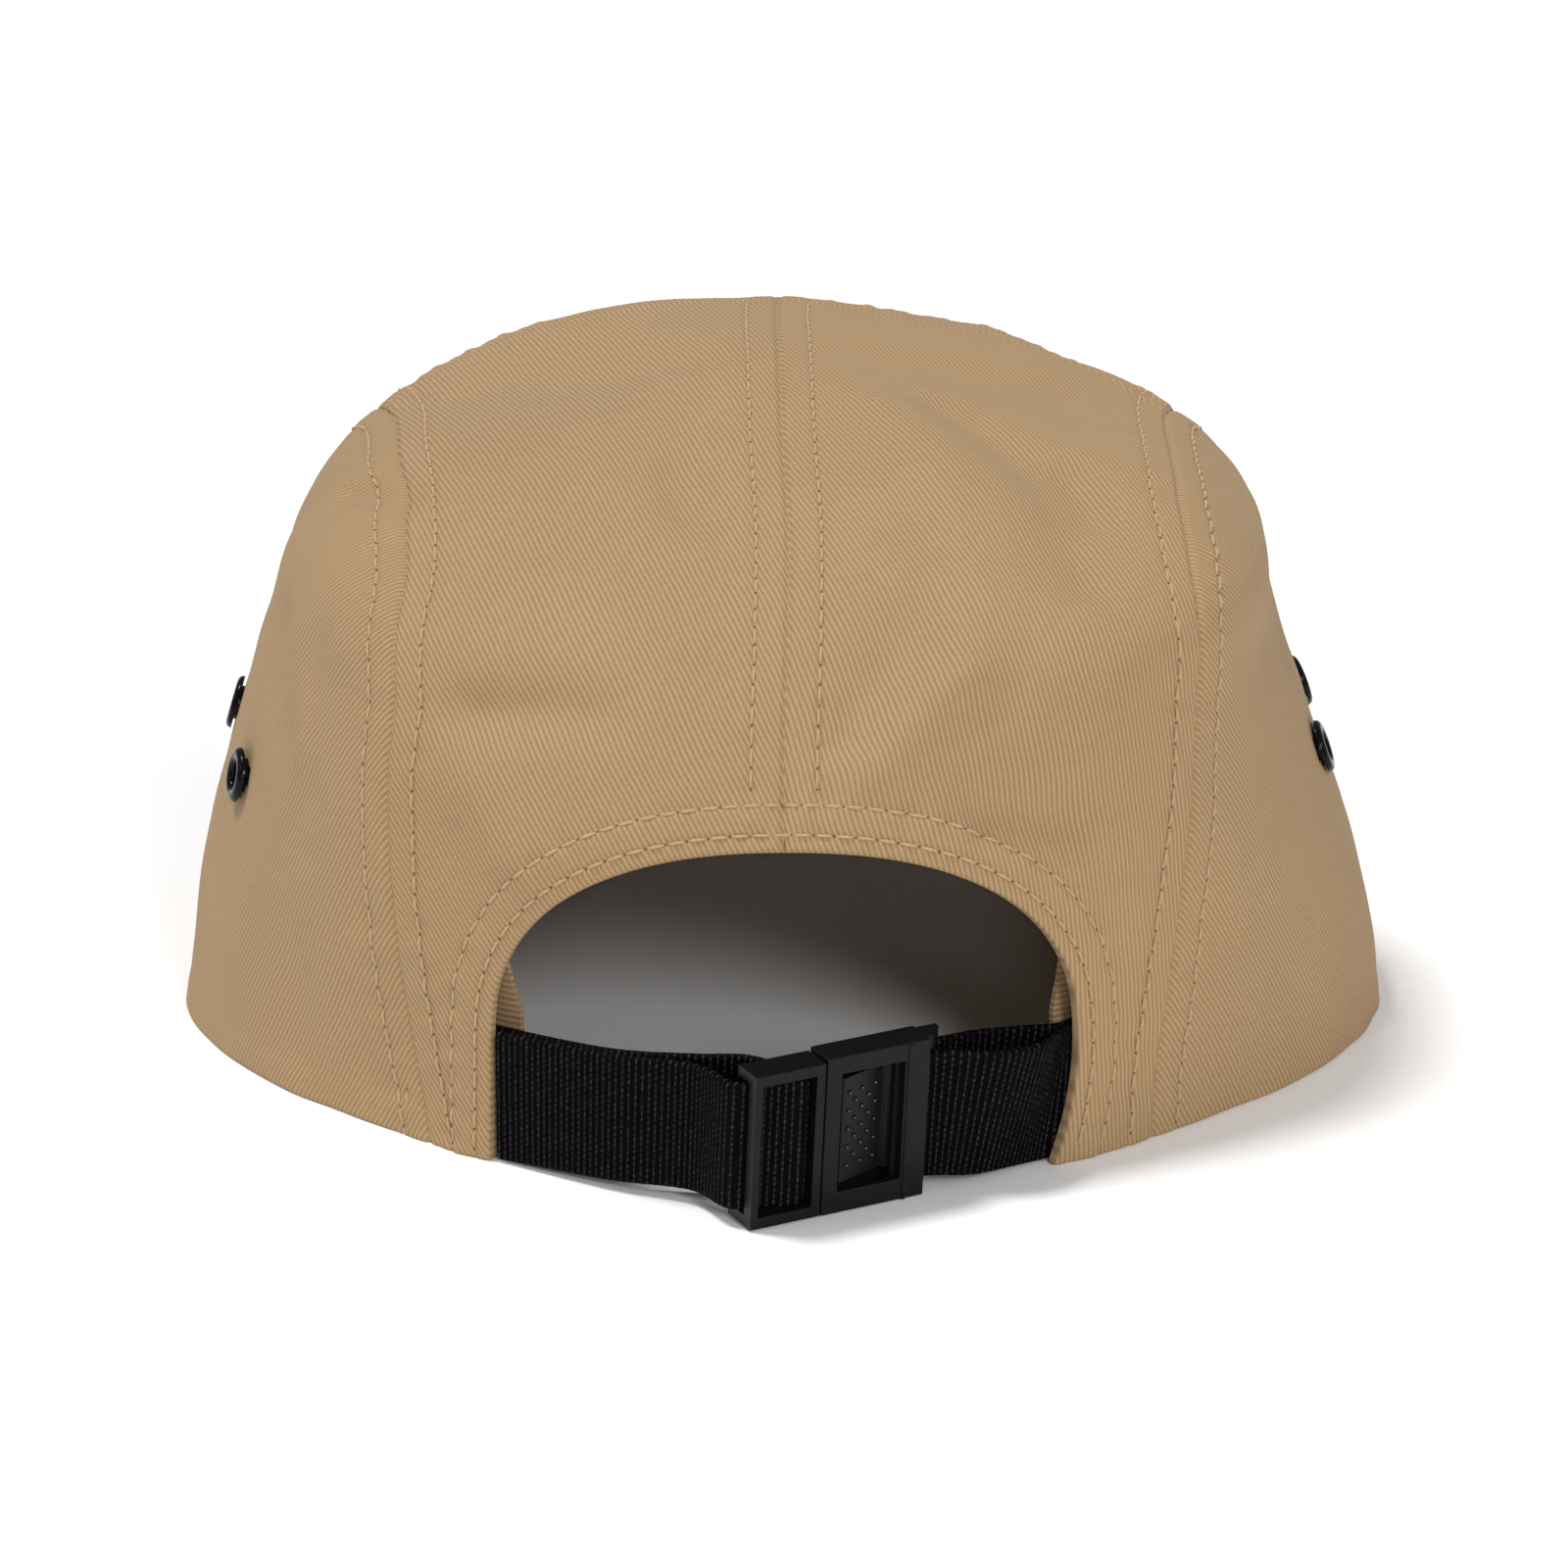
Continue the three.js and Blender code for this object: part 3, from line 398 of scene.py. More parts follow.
def seam_relief(away, along):
    """The relief beside a seam: the allowance under the cloth lifts it up to the row of stitches,
    it dips into the seam, and small puckers cross the row."""
    drift = np.sin(along / 11.3) + 0.6 * np.sin(along / 4.9 + 1.7)
    waves = np.cos(2 * np.pi * along / seam_pucker_wave + 1.4 * drift) * (0.8 + 0.4 * drift)
    return (seam_lift * step_down(away, seam_row, 1.3) - seam_dip * bell(away, seam_dip_width)
            + row_groove(away, seam_row) + seam_pucker * waves * bell(away - seam_row, 2.6))


def arch_relief(away, along):
    """The relief beside the opening: three plies up to the outer row, a soft rounded edge."""
    waves = np.cos(2 * np.pi * along / arch_pucker_wave + 1.5 * np.sin(along / 9.1))
    return (arch_lift * step_down(away, arch_rows[1], 1.4) - round_edge(away)
            + arch_pucker * waves * bell(away - arch_rows[1], 1.8)
            + row_groove(away, arch_rows[0]) + row_groove(away, arch_rows[1]))


def hem_relief(away, along):
    """The relief beside the hem: a folded edge, rounded below."""
    return hem_lift * step_down(away, hem_fold, 3) - round_edge(away)


chance = np.random.default_rng(7)
wave_count = 36
wave_ways = unit(chance.normal(size=(wave_count, 3)))
wave_lengths = np.geomspace(9, 64, wave_count)
wave_starts = chance.uniform(0, 2 * np.pi, wave_count)
wave_height = 0.0023
crumple_limit = 0.7


def crumple(points):
    """The cloth's slight unevenness: a sum of waves in many directions, the longer the higher."""
    phases = points @ (wave_ways * (2 * np.pi / wave_lengths)[:, None]).T + wave_starts
    total = (np.sin(phases) * wave_height * wave_lengths).sum(-1)
    return np.clip(total, -crumple_limit, crumple_limit)


def crown_relief(points, names):
    """The whole relief of a panel: the sum over the lines that border it, and the unevenness."""
    total = crumple(points)
    for name in names:
        kind = {"arch": arch_relief, "hem": hem_relief}.get(name, seam_relief)
        total = total + kind(*lines[name].near(points))
    return total


def straight_on(points):
    """A panel seen straight on: how far its points lie to the right and up, as complex numbers."""
    facing = unit(np.cross(points[1:, 1:] - points[:-1, :-1],
                           points[1:, :-1] - points[:-1, 1:]).sum((0, 1)))
    rightwards = unit(np.cross([0, 0, 1], facing))
    return points @ rightwards + 1j * points @ np.cross(facing, rightwards)


fitting_turns = 300


def laid_flat(points, view):
    """The panel as it was cut: from its view straight on, each triangle takes back its own shape
    as well as it can, by turning each one to fit the whole and solving for the corners, in turns."""
    index = np.arange(points[..., 0].size).reshape(points.shape[:2])
    a, b, c, d = (corner.ravel() for corner in (index[:-1, :-1], index[:-1, 1:],
                                                index[1:, 1:], index[1:, :-1]))
    triangles = np.concatenate([np.stack([a, b, c], 1), np.stack([a, c, d], 1)])
    first, second, third = (points.reshape(-1, 3)[triangles[:, k]] for k in range(3))
    base = np.linalg.norm(second - first, axis=1)
    along = ((third - first) * (second - first)).sum(1) / base
    up = np.linalg.norm(np.cross(second - first, third - first), axis=1) / base
    rest = np.stack([0 * base, base, along + 1j * up], 1)
    ends = np.roll(triangles, -1, 1)
    edges = np.roll(rest, -1, 1) - rest
    bond = np.zeros((index.size, index.size))
    for here, there in ((triangles, ends), (ends, triangles)):
        np.add.at(bond, (here.ravel(), here.ravel()), 1)
        np.add.at(bond, (here.ravel(), there.ravel()), -1)
    bond[0, 0] += 1
    inverse = np.linalg.inv(bond)
    flat = view.ravel()
    for _ in range(fitting_turns):
        spans = flat[ends] - flat[triangles]
        turn = (spans * edges.conj()).sum(1)
        fitted = (turn / np.abs(turn))[:, None] * edges
        pull = np.zeros(index.size, complex)
        np.add.at(pull, ends.ravel(), fitted.ravel())
        np.add.at(pull, triangles.ravel(), -fitted.ravel())
        flat = inverse @ pull
    return flat.reshape(index.shape)


def turned_to(flat, points, lean):
    """The flat panel turned so that its second axis follows the wales, which lean to the left of
    the way up, as that is at the panel's middle: there the way up is mixed from the panel's own
    two ways, and the flat one is the same mix."""
    row, column = flat.shape[0] // 2, flat.shape[1] // 2
    steps = [(row, column + 1), (row + 1, column)]
    ways = np.array([points[step] - points[row, column] for step in steps])
    flat_ways = np.array([flat[step] - flat[row, column] for step in steps])
    mix = np.linalg.lstsq(ways.T, np.array([0, 0, 1.0]), rcond=None)[0]
    return flat * np.exp(1j * (np.pi / 2 - np.angle(mix @ flat_ways) - lean))


# The middle of the crown's hem in the frame: the peak's nose lies the peak's length ahead of it.
peak_length = 68
nose = smooth_crown(np.array([0.0, -1.0]))[1] - peak_length
crown_shift = np.array([0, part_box("peak")[0].y / mm - nose, 0])


def placed(name, data):
    """A new object in the scene, with its data."""
    thing = bpy.data.objects.new(name, data)
    bpy.context.scene.collection.objects.link(thing)
    return thing


def new_piece(name, points, faces, material, replaced=(), uv=None, sharp=40):
    """A piece of the object from points in millimetres on the crown, with its faces, its own UV
    map in millimetres, its material and its place in the frame."""
    mesh = bpy.data.meshes.new(name)
    mesh.from_pydata(((points + crown_shift) * mm).tolist(), [], faces)
    if uv is not None:
        corners = np.zeros(len(mesh.loops), int)
        mesh.loops.foreach_get("vertex_index", corners)
        mesh.uv_layers.new(name="cloth_mm").data.foreach_set("uv", uv[corners].ravel())
    mesh.polygons.foreach_set("use_smooth", np.ones(len(mesh.polygons), bool))
    mesh.set_sharp_from_angle(angle=math.radians(sharp))
    mesh.materials.append(material)
    piece = placed(name, mesh)
    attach(piece, "root")
    if replaced:
        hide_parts(*replaced)


def wall_faces(rows, columns, holes=False):
    """Faces of a closed wall: an outer and an inner layer of rows by columns points without the
    cells in the holes, joined wherever a cell has no neighbour."""
    outer = np.arange(rows * columns).reshape(rows, columns)
    inner = outer + rows * columns
    solid = np.zeros((rows + 1, columns + 1), bool)
    solid[1:-1, 1:-1] = ~(np.zeros((rows - 1, columns - 1), bool) | holes)
    cells = solid[1:-1, 1:-1]
    corners = [(0, 0), (0, 1), (1, 1), (1, 0)]
    kinds = [
        (cells, [(outer, corner) for corner in corners]),
        (cells, [(inner, corner) for corner in corners[::-1]]),
        (cells & ~solid[:-2, 1:-1], [(outer, (0, 0)), (inner, (0, 0)), (inner, (0, 1)), (outer, (0, 1))]),
        (cells & ~solid[2:, 1:-1], [(outer, (1, 0)), (outer, (1, 1)), (inner, (1, 1)), (inner, (1, 0))]),
        (cells & ~solid[1:-1, :-2], [(outer, (0, 0)), (outer, (1, 0)), (inner, (1, 0)), (inner, (0, 0))]),
        (cells & ~solid[1:-1, 2:], [(outer, (0, 1)), (inner, (0, 1)), (inner, (1, 1)), (outer, (1, 1))]),
    ]
    quads = []
    for wanted, ends in kinds:
        row, column = np.nonzero(wanted)
        quads.append(np.stack([layer[row + up, column + across] for layer, (up, across) in ends], 1))
    return np.concatenate(quads).tolist()


def nodes_of(material):
    """A material's shader and links, a way to add a node with its values, and a way to add a sum,
    product, power or wave of sockets and numbers."""
    material.use_nodes = True
    nodes, links = material.node_tree.nodes, material.node_tree.links

    def add(kind, **values):
        node = nodes.new(kind)
        for key, value in values.items():
            if hasattr(node, key):
                setattr(node, key, value)
            else:
                node.inputs[key.replace("_", " ")].default_value = value
        return node

    def arithmetic(operation, *terms):
        node = nodes.new("ShaderNodeMath")
        node.operation = operation
        for socket, term in zip(node.inputs, terms):
            if isinstance(term, bpy.types.NodeSocket):
                links.new(term, socket)
            else:
                socket.default_value = term
        return node.outputs[0]

    return nodes["Principled BSDF"], links, add, arithmetic


def srgb(red, green, blue):
    """A screen colour from 0 to 255 as the light that it stands for."""
    share = np.array([red, green, blue]) / 255
    return (*np.where(share <= 0.04045, share / 12.92, ((share + 0.055) / 1.055) ** 2.4), 1)


# Twill, as shares of a wale: how far it wanders, the slant and pitch of the threads over it, how
# high they and the yarn's own hairs stand, and how far the wash has faded the cloth.
wale_drift = 1.2
thread_slant = 0.8
thread_pitch = 0.52
thread_height = 0.28
yarn_height = 0.9
washed_out = 0.07


def twill(name, light, dark, wale, depth):
    """Cotton twill: wales side by side along the first axis of the UV map, as a sine with a pitch,
    each with its own threads slanting over the second, a little uneven in colour and in line. Its
    colour goes from dark in the grooves to light on the raised wales and threads: painted shade
    and painted light over the weave's relief, with the yarn's own uneven tone mixed in."""
    material = bpy.data.materials.new(name)
    shader, links, add, arithmetic = nodes_of(material)
    chart = add("ShaderNodeUVMap", uv_map="cloth_mm")
    axes = add("ShaderNodeSeparateXYZ")
    links.new(chart.outputs["UV"], axes.inputs[0])
    wander = add("ShaderNodeTexNoise", Scale=0.06, Detail=2.0)
    links.new(chart.outputs["UV"], wander.inputs["Vector"])
    yarn = add("ShaderNodeTexNoise", Scale=1.6, Detail=2.0)
    links.new(chart.outputs["UV"], yarn.inputs["Vector"])
    crossing = arithmetic("ADD", axes.outputs["X"], arithmetic("MULTIPLY", wander.outputs[0], wale_drift))
    wave = arithmetic("SINE", arithmetic("MULTIPLY", crossing, 2 * math.pi / wale))
    lean = arithmetic("ADD", axes.outputs["Y"], arithmetic("MULTIPLY", crossing, thread_slant))
    threads = arithmetic("SINE", arithmetic("MULTIPLY", lean, 2 * math.pi / (wale * thread_pitch)))
    height = arithmetic("ADD", wave, arithmetic("MULTIPLY", threads, thread_height))
    height = arithmetic("ADD", height, arithmetic("MULTIPLY", yarn.outputs[0], yarn_height))
    # The relief's height also sets the colour: darker in the grooves is painted shade, lighter on the
    # crests painted light, and the yarn noise in it is the yarn's own uneven tone.
    share = add("ShaderNodeMapRange", clamp=True, From_Min=-0.75, From_Max=1.5)
    links.new(height, share.inputs["Value"])
    weave = add("ShaderNodeMix", data_type="RGBA")
    weave.inputs[6].default_value = dark
    weave.inputs[7].default_value = light
    links.new(share.outputs[0], weave.inputs[0])
    cloud = add("ShaderNodeTexNoise", Scale=0.035, Detail=4.0)
    links.new(chart.outputs["UV"], cloud.inputs["Vector"])
    wash = add("ShaderNodeHueSaturation")
    brightness = arithmetic("MULTIPLY_ADD", cloud.outputs[0], 2 * washed_out, 1 - washed_out)
    links.new(brightness, wash.inputs["Value"])
    links.new(weave.outputs[2], wash.inputs["Color"])
    links.new(wash.outputs[0], shader.inputs["Base Color"])
    relief = add("ShaderNodeBump", Strength=1.0, Distance=depth * mm)
    links.new(height, relief.inputs["Height"])
    links.new(relief.outputs[0], shader.inputs["Normal"])
    shader.inputs["Roughness"].default_value = 0.9
    shader.inputs["Specular IOR Level"].default_value = 0.25
    shader.inputs["Sheen Weight"].default_value = 0.05
    shader.inputs["Sheen Roughness"].default_value = 0.5
    return material


crown_twill = twill("tan_cotton_twill", srgb(177, 147, 109), srgb(144, 117, 84), wale=0.8, depth=0.04)

# The holes cut for the eyelets, and their seats: the side, how far back and how high each lies.
eyelet_cut = 6
eyelet_seats = {
    "eyelet_left_back": (1, 10.5, 42.8),
    "eyelet_left_front": (1, -14, 46.5),
    "eyelet_right_back": (-1, -4, 42.5),
    "eyelet_right_front": (-1, -28, 45.5),
}


def eyelet_axis(side, along, height):
    """An eyelet's middle on the crown and the cloth's outward direction there."""
    place = find_place([1, 2], np.array([along, height], float), np.array([0.62 * side, 0.05]))[None]
    return crown(place)[0], cloth_outward(place)[0]


def eyelet_holes(points):
    """The cells of a panel's grid that lie in the holes cut for the eyelets."""
    middles = (points[:-1, :-1] + points[1:, 1:]) / 2
    cut = np.zeros(middles.shape[:2], bool)
    for seat in eyelet_seats.values():
        centre, normal = eyelet_axis(*seat)
        offset = middles - centre
        height = offset @ normal
        from_axis = np.linalg.norm(offset - height[..., None] * normal, axis=-1)
        cut |= (from_axis < eyelet_cut / 2) & (np.abs(height) < eyelet_cut)
    return cut


# Each panel: its grid of places, the lines around it, and how far its wales lean from upright. Its
# UV map is worked out on every fourth row and column, and its spread is filled in between them.
panels = {
    "back_panel_left": (back_grid(1, side_seam_left, 96, 200),
                        ("seam_left", "seam_centre", "seam_front", "arch", "hem"), 37),
    "back_panel_right": (back_grid(-1, side_seam_right, 96, 200),
                         ("seam_right", "seam_centre", "seam_front", "arch", "hem"), 11),
    "side_panel_left": (side_grid(side_seam_left, 128, 120), ("seam_left", "hem"), -25),
    "side_panel_right": (side_grid(side_seam_right, 128, 120), ("seam_right", "hem"), 24),
    "front_panel": (front_grid(132, 112), ("seam_left", "seam_right", "seam_front", "hem"), 45),
}
cut_step = 4
for name, (grid, borders, wale_lean) in panels.items():
    points = crown(grid)
    outwards = cloth_outward(grid)
    turns = np.cross(points[1:, 1:] - points[:-1, :-1], points[1:, :-1] - points[:-1, 1:])
    if (turns * outwards[1:, 1:]).sum() < 0:
        grid, points, outwards = grid[:, ::-1], points[:, ::-1], outwards[:, ::-1]
    outer = points + outwards * crown_relief(points, borders)[..., None]
    inner = points - outwards * cloth_wall
    outer[..., 2] = np.maximum(outer[..., 2], 0)
    rows, columns = (np.unique(np.append(np.arange(0, size, cut_step), size - 1))
                     for size in grid.shape[:2])
    kept = np.ix_(rows, columns)
    view = straight_on(points)
    spread = laid_flat(points[kept], view[kept]) - view[kept]
    up_spread, across_spread = (
        np.array([np.interp(np.arange(size), part, unit_row) for unit_row in np.eye(len(part))]).T
        for size, part in zip(grid.shape[:2], (rows, columns)))
    flat = turned_to(view + up_spread @ spread @ across_spread.T, points, math.radians(wale_lean))
    uv = np.stack([flat.real.ravel(), flat.imag.ravel()], 1)
    new_piece(name + "_cloth", np.concatenate([outer.reshape(-1, 3), inner.reshape(-1, 3)]),
              wall_faces(*grid.shape[:2], eyelet_holes(points)), crown_twill, (name,),
              np.concatenate([uv, uv]))

# Topstitches: lockstitch rows of a slightly lighter cotton thread, about eight stitches to the
# inch. Each stitch is a short round thread that comes up through the cloth, lies over it and
# goes down again, and between two stitches there is a needle hole: a short dark brown plug whose
# colour is painted shade in the hole.
stitch_pitch = 3.1
stitch_length = 2.55
stitch_arch = 0.16
stitch_dive = 0.22
stitch_rings = 7
stitch_sides = 6
thread_radius = 0.23
thread_taper = 0.55
hole_sink = 0.02
hole_ends = np.array([-0.35, 0.05])
hole_radii = np.array([0.16, 0.21])


def mottled(name, dark, light, scale, detail=2.0, **finish):
    """A material whose colour goes from dark to light with a noise on the piece, its mottle."""
    material = bpy.data.materials.new(name)
    shader, links, add, arithmetic = nodes_of(material)
    on_piece = add("ShaderNodeTexCoord")
    mottle = add("ShaderNodeTexNoise", name="mottle", Scale=scale, Detail=detail)
    links.new(on_piece.outputs["Object"], mottle.inputs["Vector"])
    colour = add("ShaderNodeMix", data_type="RGBA")
    colour.inputs[6].default_value = dark
    colour.inputs[7].default_value = light
    links.new(mottle.outputs[0], colour.inputs[0])
    links.new(colour.outputs[2], shader.inputs["Base Color"])
    for key, value in finish.items():
        shader.inputs[key.replace("_", " ")].default_value = value
    return material


thread_cotton = mottled("tan_cotton_thread", srgb(160, 131, 96), srgb(196, 164, 124), 2600.0,
                        Roughness=0.75, Sheen_Weight=0.15)
# The needle holes' dark brown is painted shade, not the cloth's own colour.
needle_hole = mottled("needle_hole_shade", srgb(88, 68, 47), srgb(118, 93, 66), 1500.0,
                      Roughness=1.0)


def joined_tubes(centres, first, second, radii, sides):
    """Many short closed tubes as one body: round each centre line a ring of points on a circle
    spanned by two directions, with a flat cap at both ends."""
    angle = np.linspace(0, 2 * np.pi, sides, endpoint=False)
    circle = (np.cos(angle)[:, None] * first[..., None, :]
              + np.sin(angle)[:, None] * second[..., None, :])
    points = centres[..., None, :] + radii[..., None, None] * circle
    count, rings_in_tube = centres.shape[:2]
    index = np.arange(points[..., 0].size).reshape(count, rings_in_tube, sides)
    after = np.roll(index, -1, 2)
    quads = np.stack([index[:, :-1], after[:, :-1], after[:, 1:], index[:, 1:]], -1).reshape(-1, 4)
    caps = np.concatenate([index[:, 0, ::-1], index[:, -1]])
    return points.reshape(-1, 3), quads.tolist() + caps.tolist()


def nearest_on_crown(target, place):
    """The places of the crown closest to targets, by fitting the move to its slopes in turns."""
    for _ in range(5):
        here = crown(place)
        slope = np.stack([(crown(place + step) - here) / 0.001
                          for step in (np.array([0.001, 0]), np.array([0, 0.001]))], -1)
        flipped = np.swapaxes(slope, -1, -2)
        move = np.linalg.solve(flipped @ slope, (flipped @ (target - here)[..., None]))[..., 0]
        place = place + np.clip(move, -0.05, 0.05)
        place = place / np.maximum(np.hypot(place[..., 0], place[..., 1]), 1)[..., None]
    return place


def row_beside(line, offset, start, end):
    """A row of stitches beside a line: the line moved sideways over the crown by an offset, from
    a share of its length to another, as points and outward directions a tenth of a stitch apart."""
    arcs = np.arange(line.arc[-1] * start, line.arc[-1] * end, stitch_pitch / 10)
    sample = np.interp(arcs, line.arc, np.arange(len(line.arc)))
    at = np.clip(np.rint(sample).astype(int), 0, len(line.arc) - 1)
    places = np.stack([np.interp(arcs, line.arc, line.places[:, k]) for k in (0, 1)], -1)
    points = crown(places)
    sideways = unit(np.cross(line.tangents[at], line.normals[at]))
    beside = nearest_on_crown(points + offset * sideways, places)
    on_crown, outwards = crown(beside), cloth_outward(beside)
    return on_crown + outwards * crown_relief(on_crown, lines)[:, None], outwards


def between_points(values, arc, at):
    """A row's values at arc lengths between its points."""
    return np.stack([np.interp(at, arc, values[:, k]) for k in range(3)], -1)


def sewn(name, rows, lift):
    """The stitches of several rows as one piece and their needle holes as another. A stitch's
    centre line is an arch over the row, and its radius falls to both ends. A hole is a short tube
    between two stitches, a little wider at its mouth."""
    share = np.linspace(-1, 1, stitch_rings)
    height = lift + stitch_arch * (1 - share ** 2) - stitch_dive * share ** 6
    stitches, holes = [], []
    for points, normals in rows:
        arc = np.concatenate([[0], np.cumsum(np.linalg.norm(np.diff(points, axis=0), axis=1))])
        middles = np.arange(stitch_pitch, arc[-1] - stitch_pitch, stitch_pitch)[:, None]
        at = middles + share * stitch_length / 2
        up = unit(between_points(normals, arc, at))
        centre = between_points(points, arc, at) + up * height[:, None]
        along = unit(np.gradient(centre, axis=1))
        across = unit(np.cross(up, along))
        stitches.append((centre, across, unit(np.cross(along, across))))
        at = middles - stitch_pitch / 2
        up = unit(between_points(normals, arc, at))
        mouth = between_points(points, arc, at) + up * (lift - hole_sink)
        holes.append((mouth, up, unit(np.cross(up, along[:, :1]))))
    centre, across, over = (np.concatenate(part) for part in zip(*stitches))
    radii = np.broadcast_to(thread_radius * (1 - thread_taper * share ** 4), centre.shape[:2])
    points, faces = joined_tubes(centre, across, over, radii, stitch_sides)
    new_piece(name + "_stitches", points, faces, thread_cotton)
    mouth, up, across = (np.concatenate(part) for part in zip(*holes))
    ends = mouth + up * hole_ends[:, None]
    points, faces = joined_tubes(ends, np.repeat(unit(np.cross(up, across)), 2, 1),
                                 -np.repeat(across, 2, 1),
                                 np.broadcast_to(hole_radii, ends.shape[:2]), stitch_sides)
    new_piece(name + "_needle_holes", points, faces, needle_hole)


row_lift = 0.06
seam_rows = [row_beside(lines[name], side * seam_row, start, end)
             for name, start, end in (("seam_left", 0.0, 1.0), ("seam_right", 0.0, 1.0),
                                      ("seam_centre", 0.055, 0.97))
             for side in (-1, 1)]
seam_rows.append(row_beside(lines["seam_front"], -seam_row, 0.03, 0.97))
sewn("seam", seam_rows, row_lift)
sewn("opening", [row_beside(lines["arch"], -offset, 0.0, 1.0) for offset in arch_rows], row_lift)

# Peak: a stiff curved plate covered with the same twill on both faces, with eight rows of
# stitches along its edge. It is sewn under the front hem and its two ends rest on the table.
peak_flare = 5
peak_squareness = 2.2
peak_droop = 1.5
peak_rows = 8
row_spacing = 5.5
ripple_depth = 0.10
edge_start = 0.985
face_steps = 60
peak_lean = math.radians(40)


def peak_plate(share, out, drop):
    """The peak's faces: from the hem's inner edge to a round front, as high as the hem that each
    part is sewn to less the droop, and lower by the given drop."""
    end = math.pi - peak_end_turn
    place = hem_place(math.pi - share * (math.pi - end))
    root = smooth_crown(place)
    level = outward(smooth_crown, place)
    level[..., 2] = 0
    start = root - cloth_wall * unit(level)
    end_root = smooth_crown(hem_place(np.array(end)))
    swing = np.abs(share) * math.pi / 2
    power = 2 / peak_squareness
    half = end_root[0] * np.sin(swing) ** power + peak_flare * np.sin(2 * swing)
    cosine = np.maximum(np.cos(swing), 0)
    forward = end_root[1] + (nose - end_root[1]) * cosine ** power
    rim = np.stack([np.sign(share) * half, forward, 0 * share], -1)
    under = root[..., 2] - piece_gap - peak_thickness - peak_droop * out * (1 - np.abs(share))
    points = start + (rim - start) * out[..., None]
    points[..., 2] = np.maximum(under, 0) + peak_thickness - drop
    return points


def peak_run(share):
    """The way from the hem's inner edge to the peak's rim."""
    return peak_plate(share, 1 + 0 * share, 0) - peak_plate(share, 0 * share, 0)


half_thick = peak_thickness / 2
edge_turn = np.linspace(0, np.pi, 13)[1:-1]
face_out = np.linspace(0, edge_start, face_steps)
peak_out = np.concatenate([face_out, edge_start + (1 - edge_start) * np.sin(edge_turn),
                           face_out[::-1]])
peak_drop = np.concatenate([np.zeros(face_steps), half_thick * (1 - np.cos(edge_turn)),
                            np.full(face_steps, peak_thickness)])
share_grid, out_grid = np.meshgrid(np.linspace(1, -1, 181), peak_out, indexing="ij")
drop_grid = np.broadcast_to(peak_drop, share_grid.shape)
peak_points = peak_plate(share_grid, out_grid, drop_grid)
from_edge = np.linalg.norm(peak_run(share_grid), axis=-1) * (1 - out_grid)
fading = step_down(from_edge, row_spacing * peak_rows + 1, 3) * (1 - step_down(from_edge, 1.5, 1.5))
ripple = -ripple_depth * (0.5 + 0.5 * np.cos(2 * np.pi * from_edge / row_spacing)) * fading
peak_points[..., 2] += np.where(drop_grid < half_thick, ripple, -ripple)
peak_points[..., 2] = np.maximum(peak_points[..., 2], 0)
loop = np.arange(peak_points[..., 0].size).reshape(share_grid.shape)
after = np.roll(loop, -1, 1)
peak_faces = np.stack([loop[:-1], loop[1:], after[1:], after[:-1]], -1).reshape(-1, 4).tolist()
peak_faces += [loop[0].tolist(), loop[-1, ::-1].tolist()]
# The cloth's chart is the peak seen from above with its edge unrolled outwards, turned on the bias.
unrolled = peak_points[..., :2] + unit(peak_run(share_grid)[..., :2]) * drop_grid[..., None]
bias = np.array([[math.cos(peak_lean), math.sin(peak_lean)],
                 [-math.sin(peak_lean), math.cos(peak_lean)]])
peak_uv = unrolled.reshape(-1, 2) @ bias
new_piece("peak_cloth", peak_points.reshape(-1, 3), peak_faces, crown_twill, ("peak",),
          peak_uv)


row_sink = 0.08
peak_row_lift = 0.02


def peak_row(number, face):
    """One row of stitches on the peak's upper or lower face, a whole number of spacings from its
    edge."""
    share = np.linspace(0.97, -0.97, 700)
    reach = np.linalg.norm(peak_run(share), axis=1)
    inside = reach > row_spacing * (number + 0.7)
    share, reach = share[inside], reach[inside]
    points = peak_plate(share, 1 - row_spacing * number / reach, 0 if face > 0 else peak_thickness)
    points[:, 2] -= face * row_sink
    return points, np.tile([0, 0, float(face)], (len(share), 1))


sewn("peak", [peak_row(number, face) for number in range(1, peak_rows + 1) for face in (1, -1)],
     peak_row_lift)

# Sweatband: a strip of the same cotton in a plainer weave, sewn inside the hem all round and
# open at the back, where its two ends stand in the opening beside the webbing.
band_height = 31.5
band_end_left = 41.2
band_end_right = 42.8
band_end_slant = 0.24
band_slant_start = 21
band_thickness = 1
band_ease = 0.4
band_seams = ((3, 0.25), (26, 0.2))
band_seam_width = 0.8
band_wave = 0.12
strap_thickness = 1.3
room_end = 3 / 56
room_fade = 4 / 56
band_columns = 561
band_rows = 41
hem_fold_out = 0.985
band_twill = twill("band_cotton", srgb(178, 147, 110), srgb(140, 113, 82), wale=1.0, depth=0.06)


def hem_turn(x):
    """The hem's turn where it is so far to the left behind."""
    turns = np.linspace(-1.4, 1.4, 4001)
    return np.interp(x, smooth_crown(hem_place(turns))[:, 0], turns)


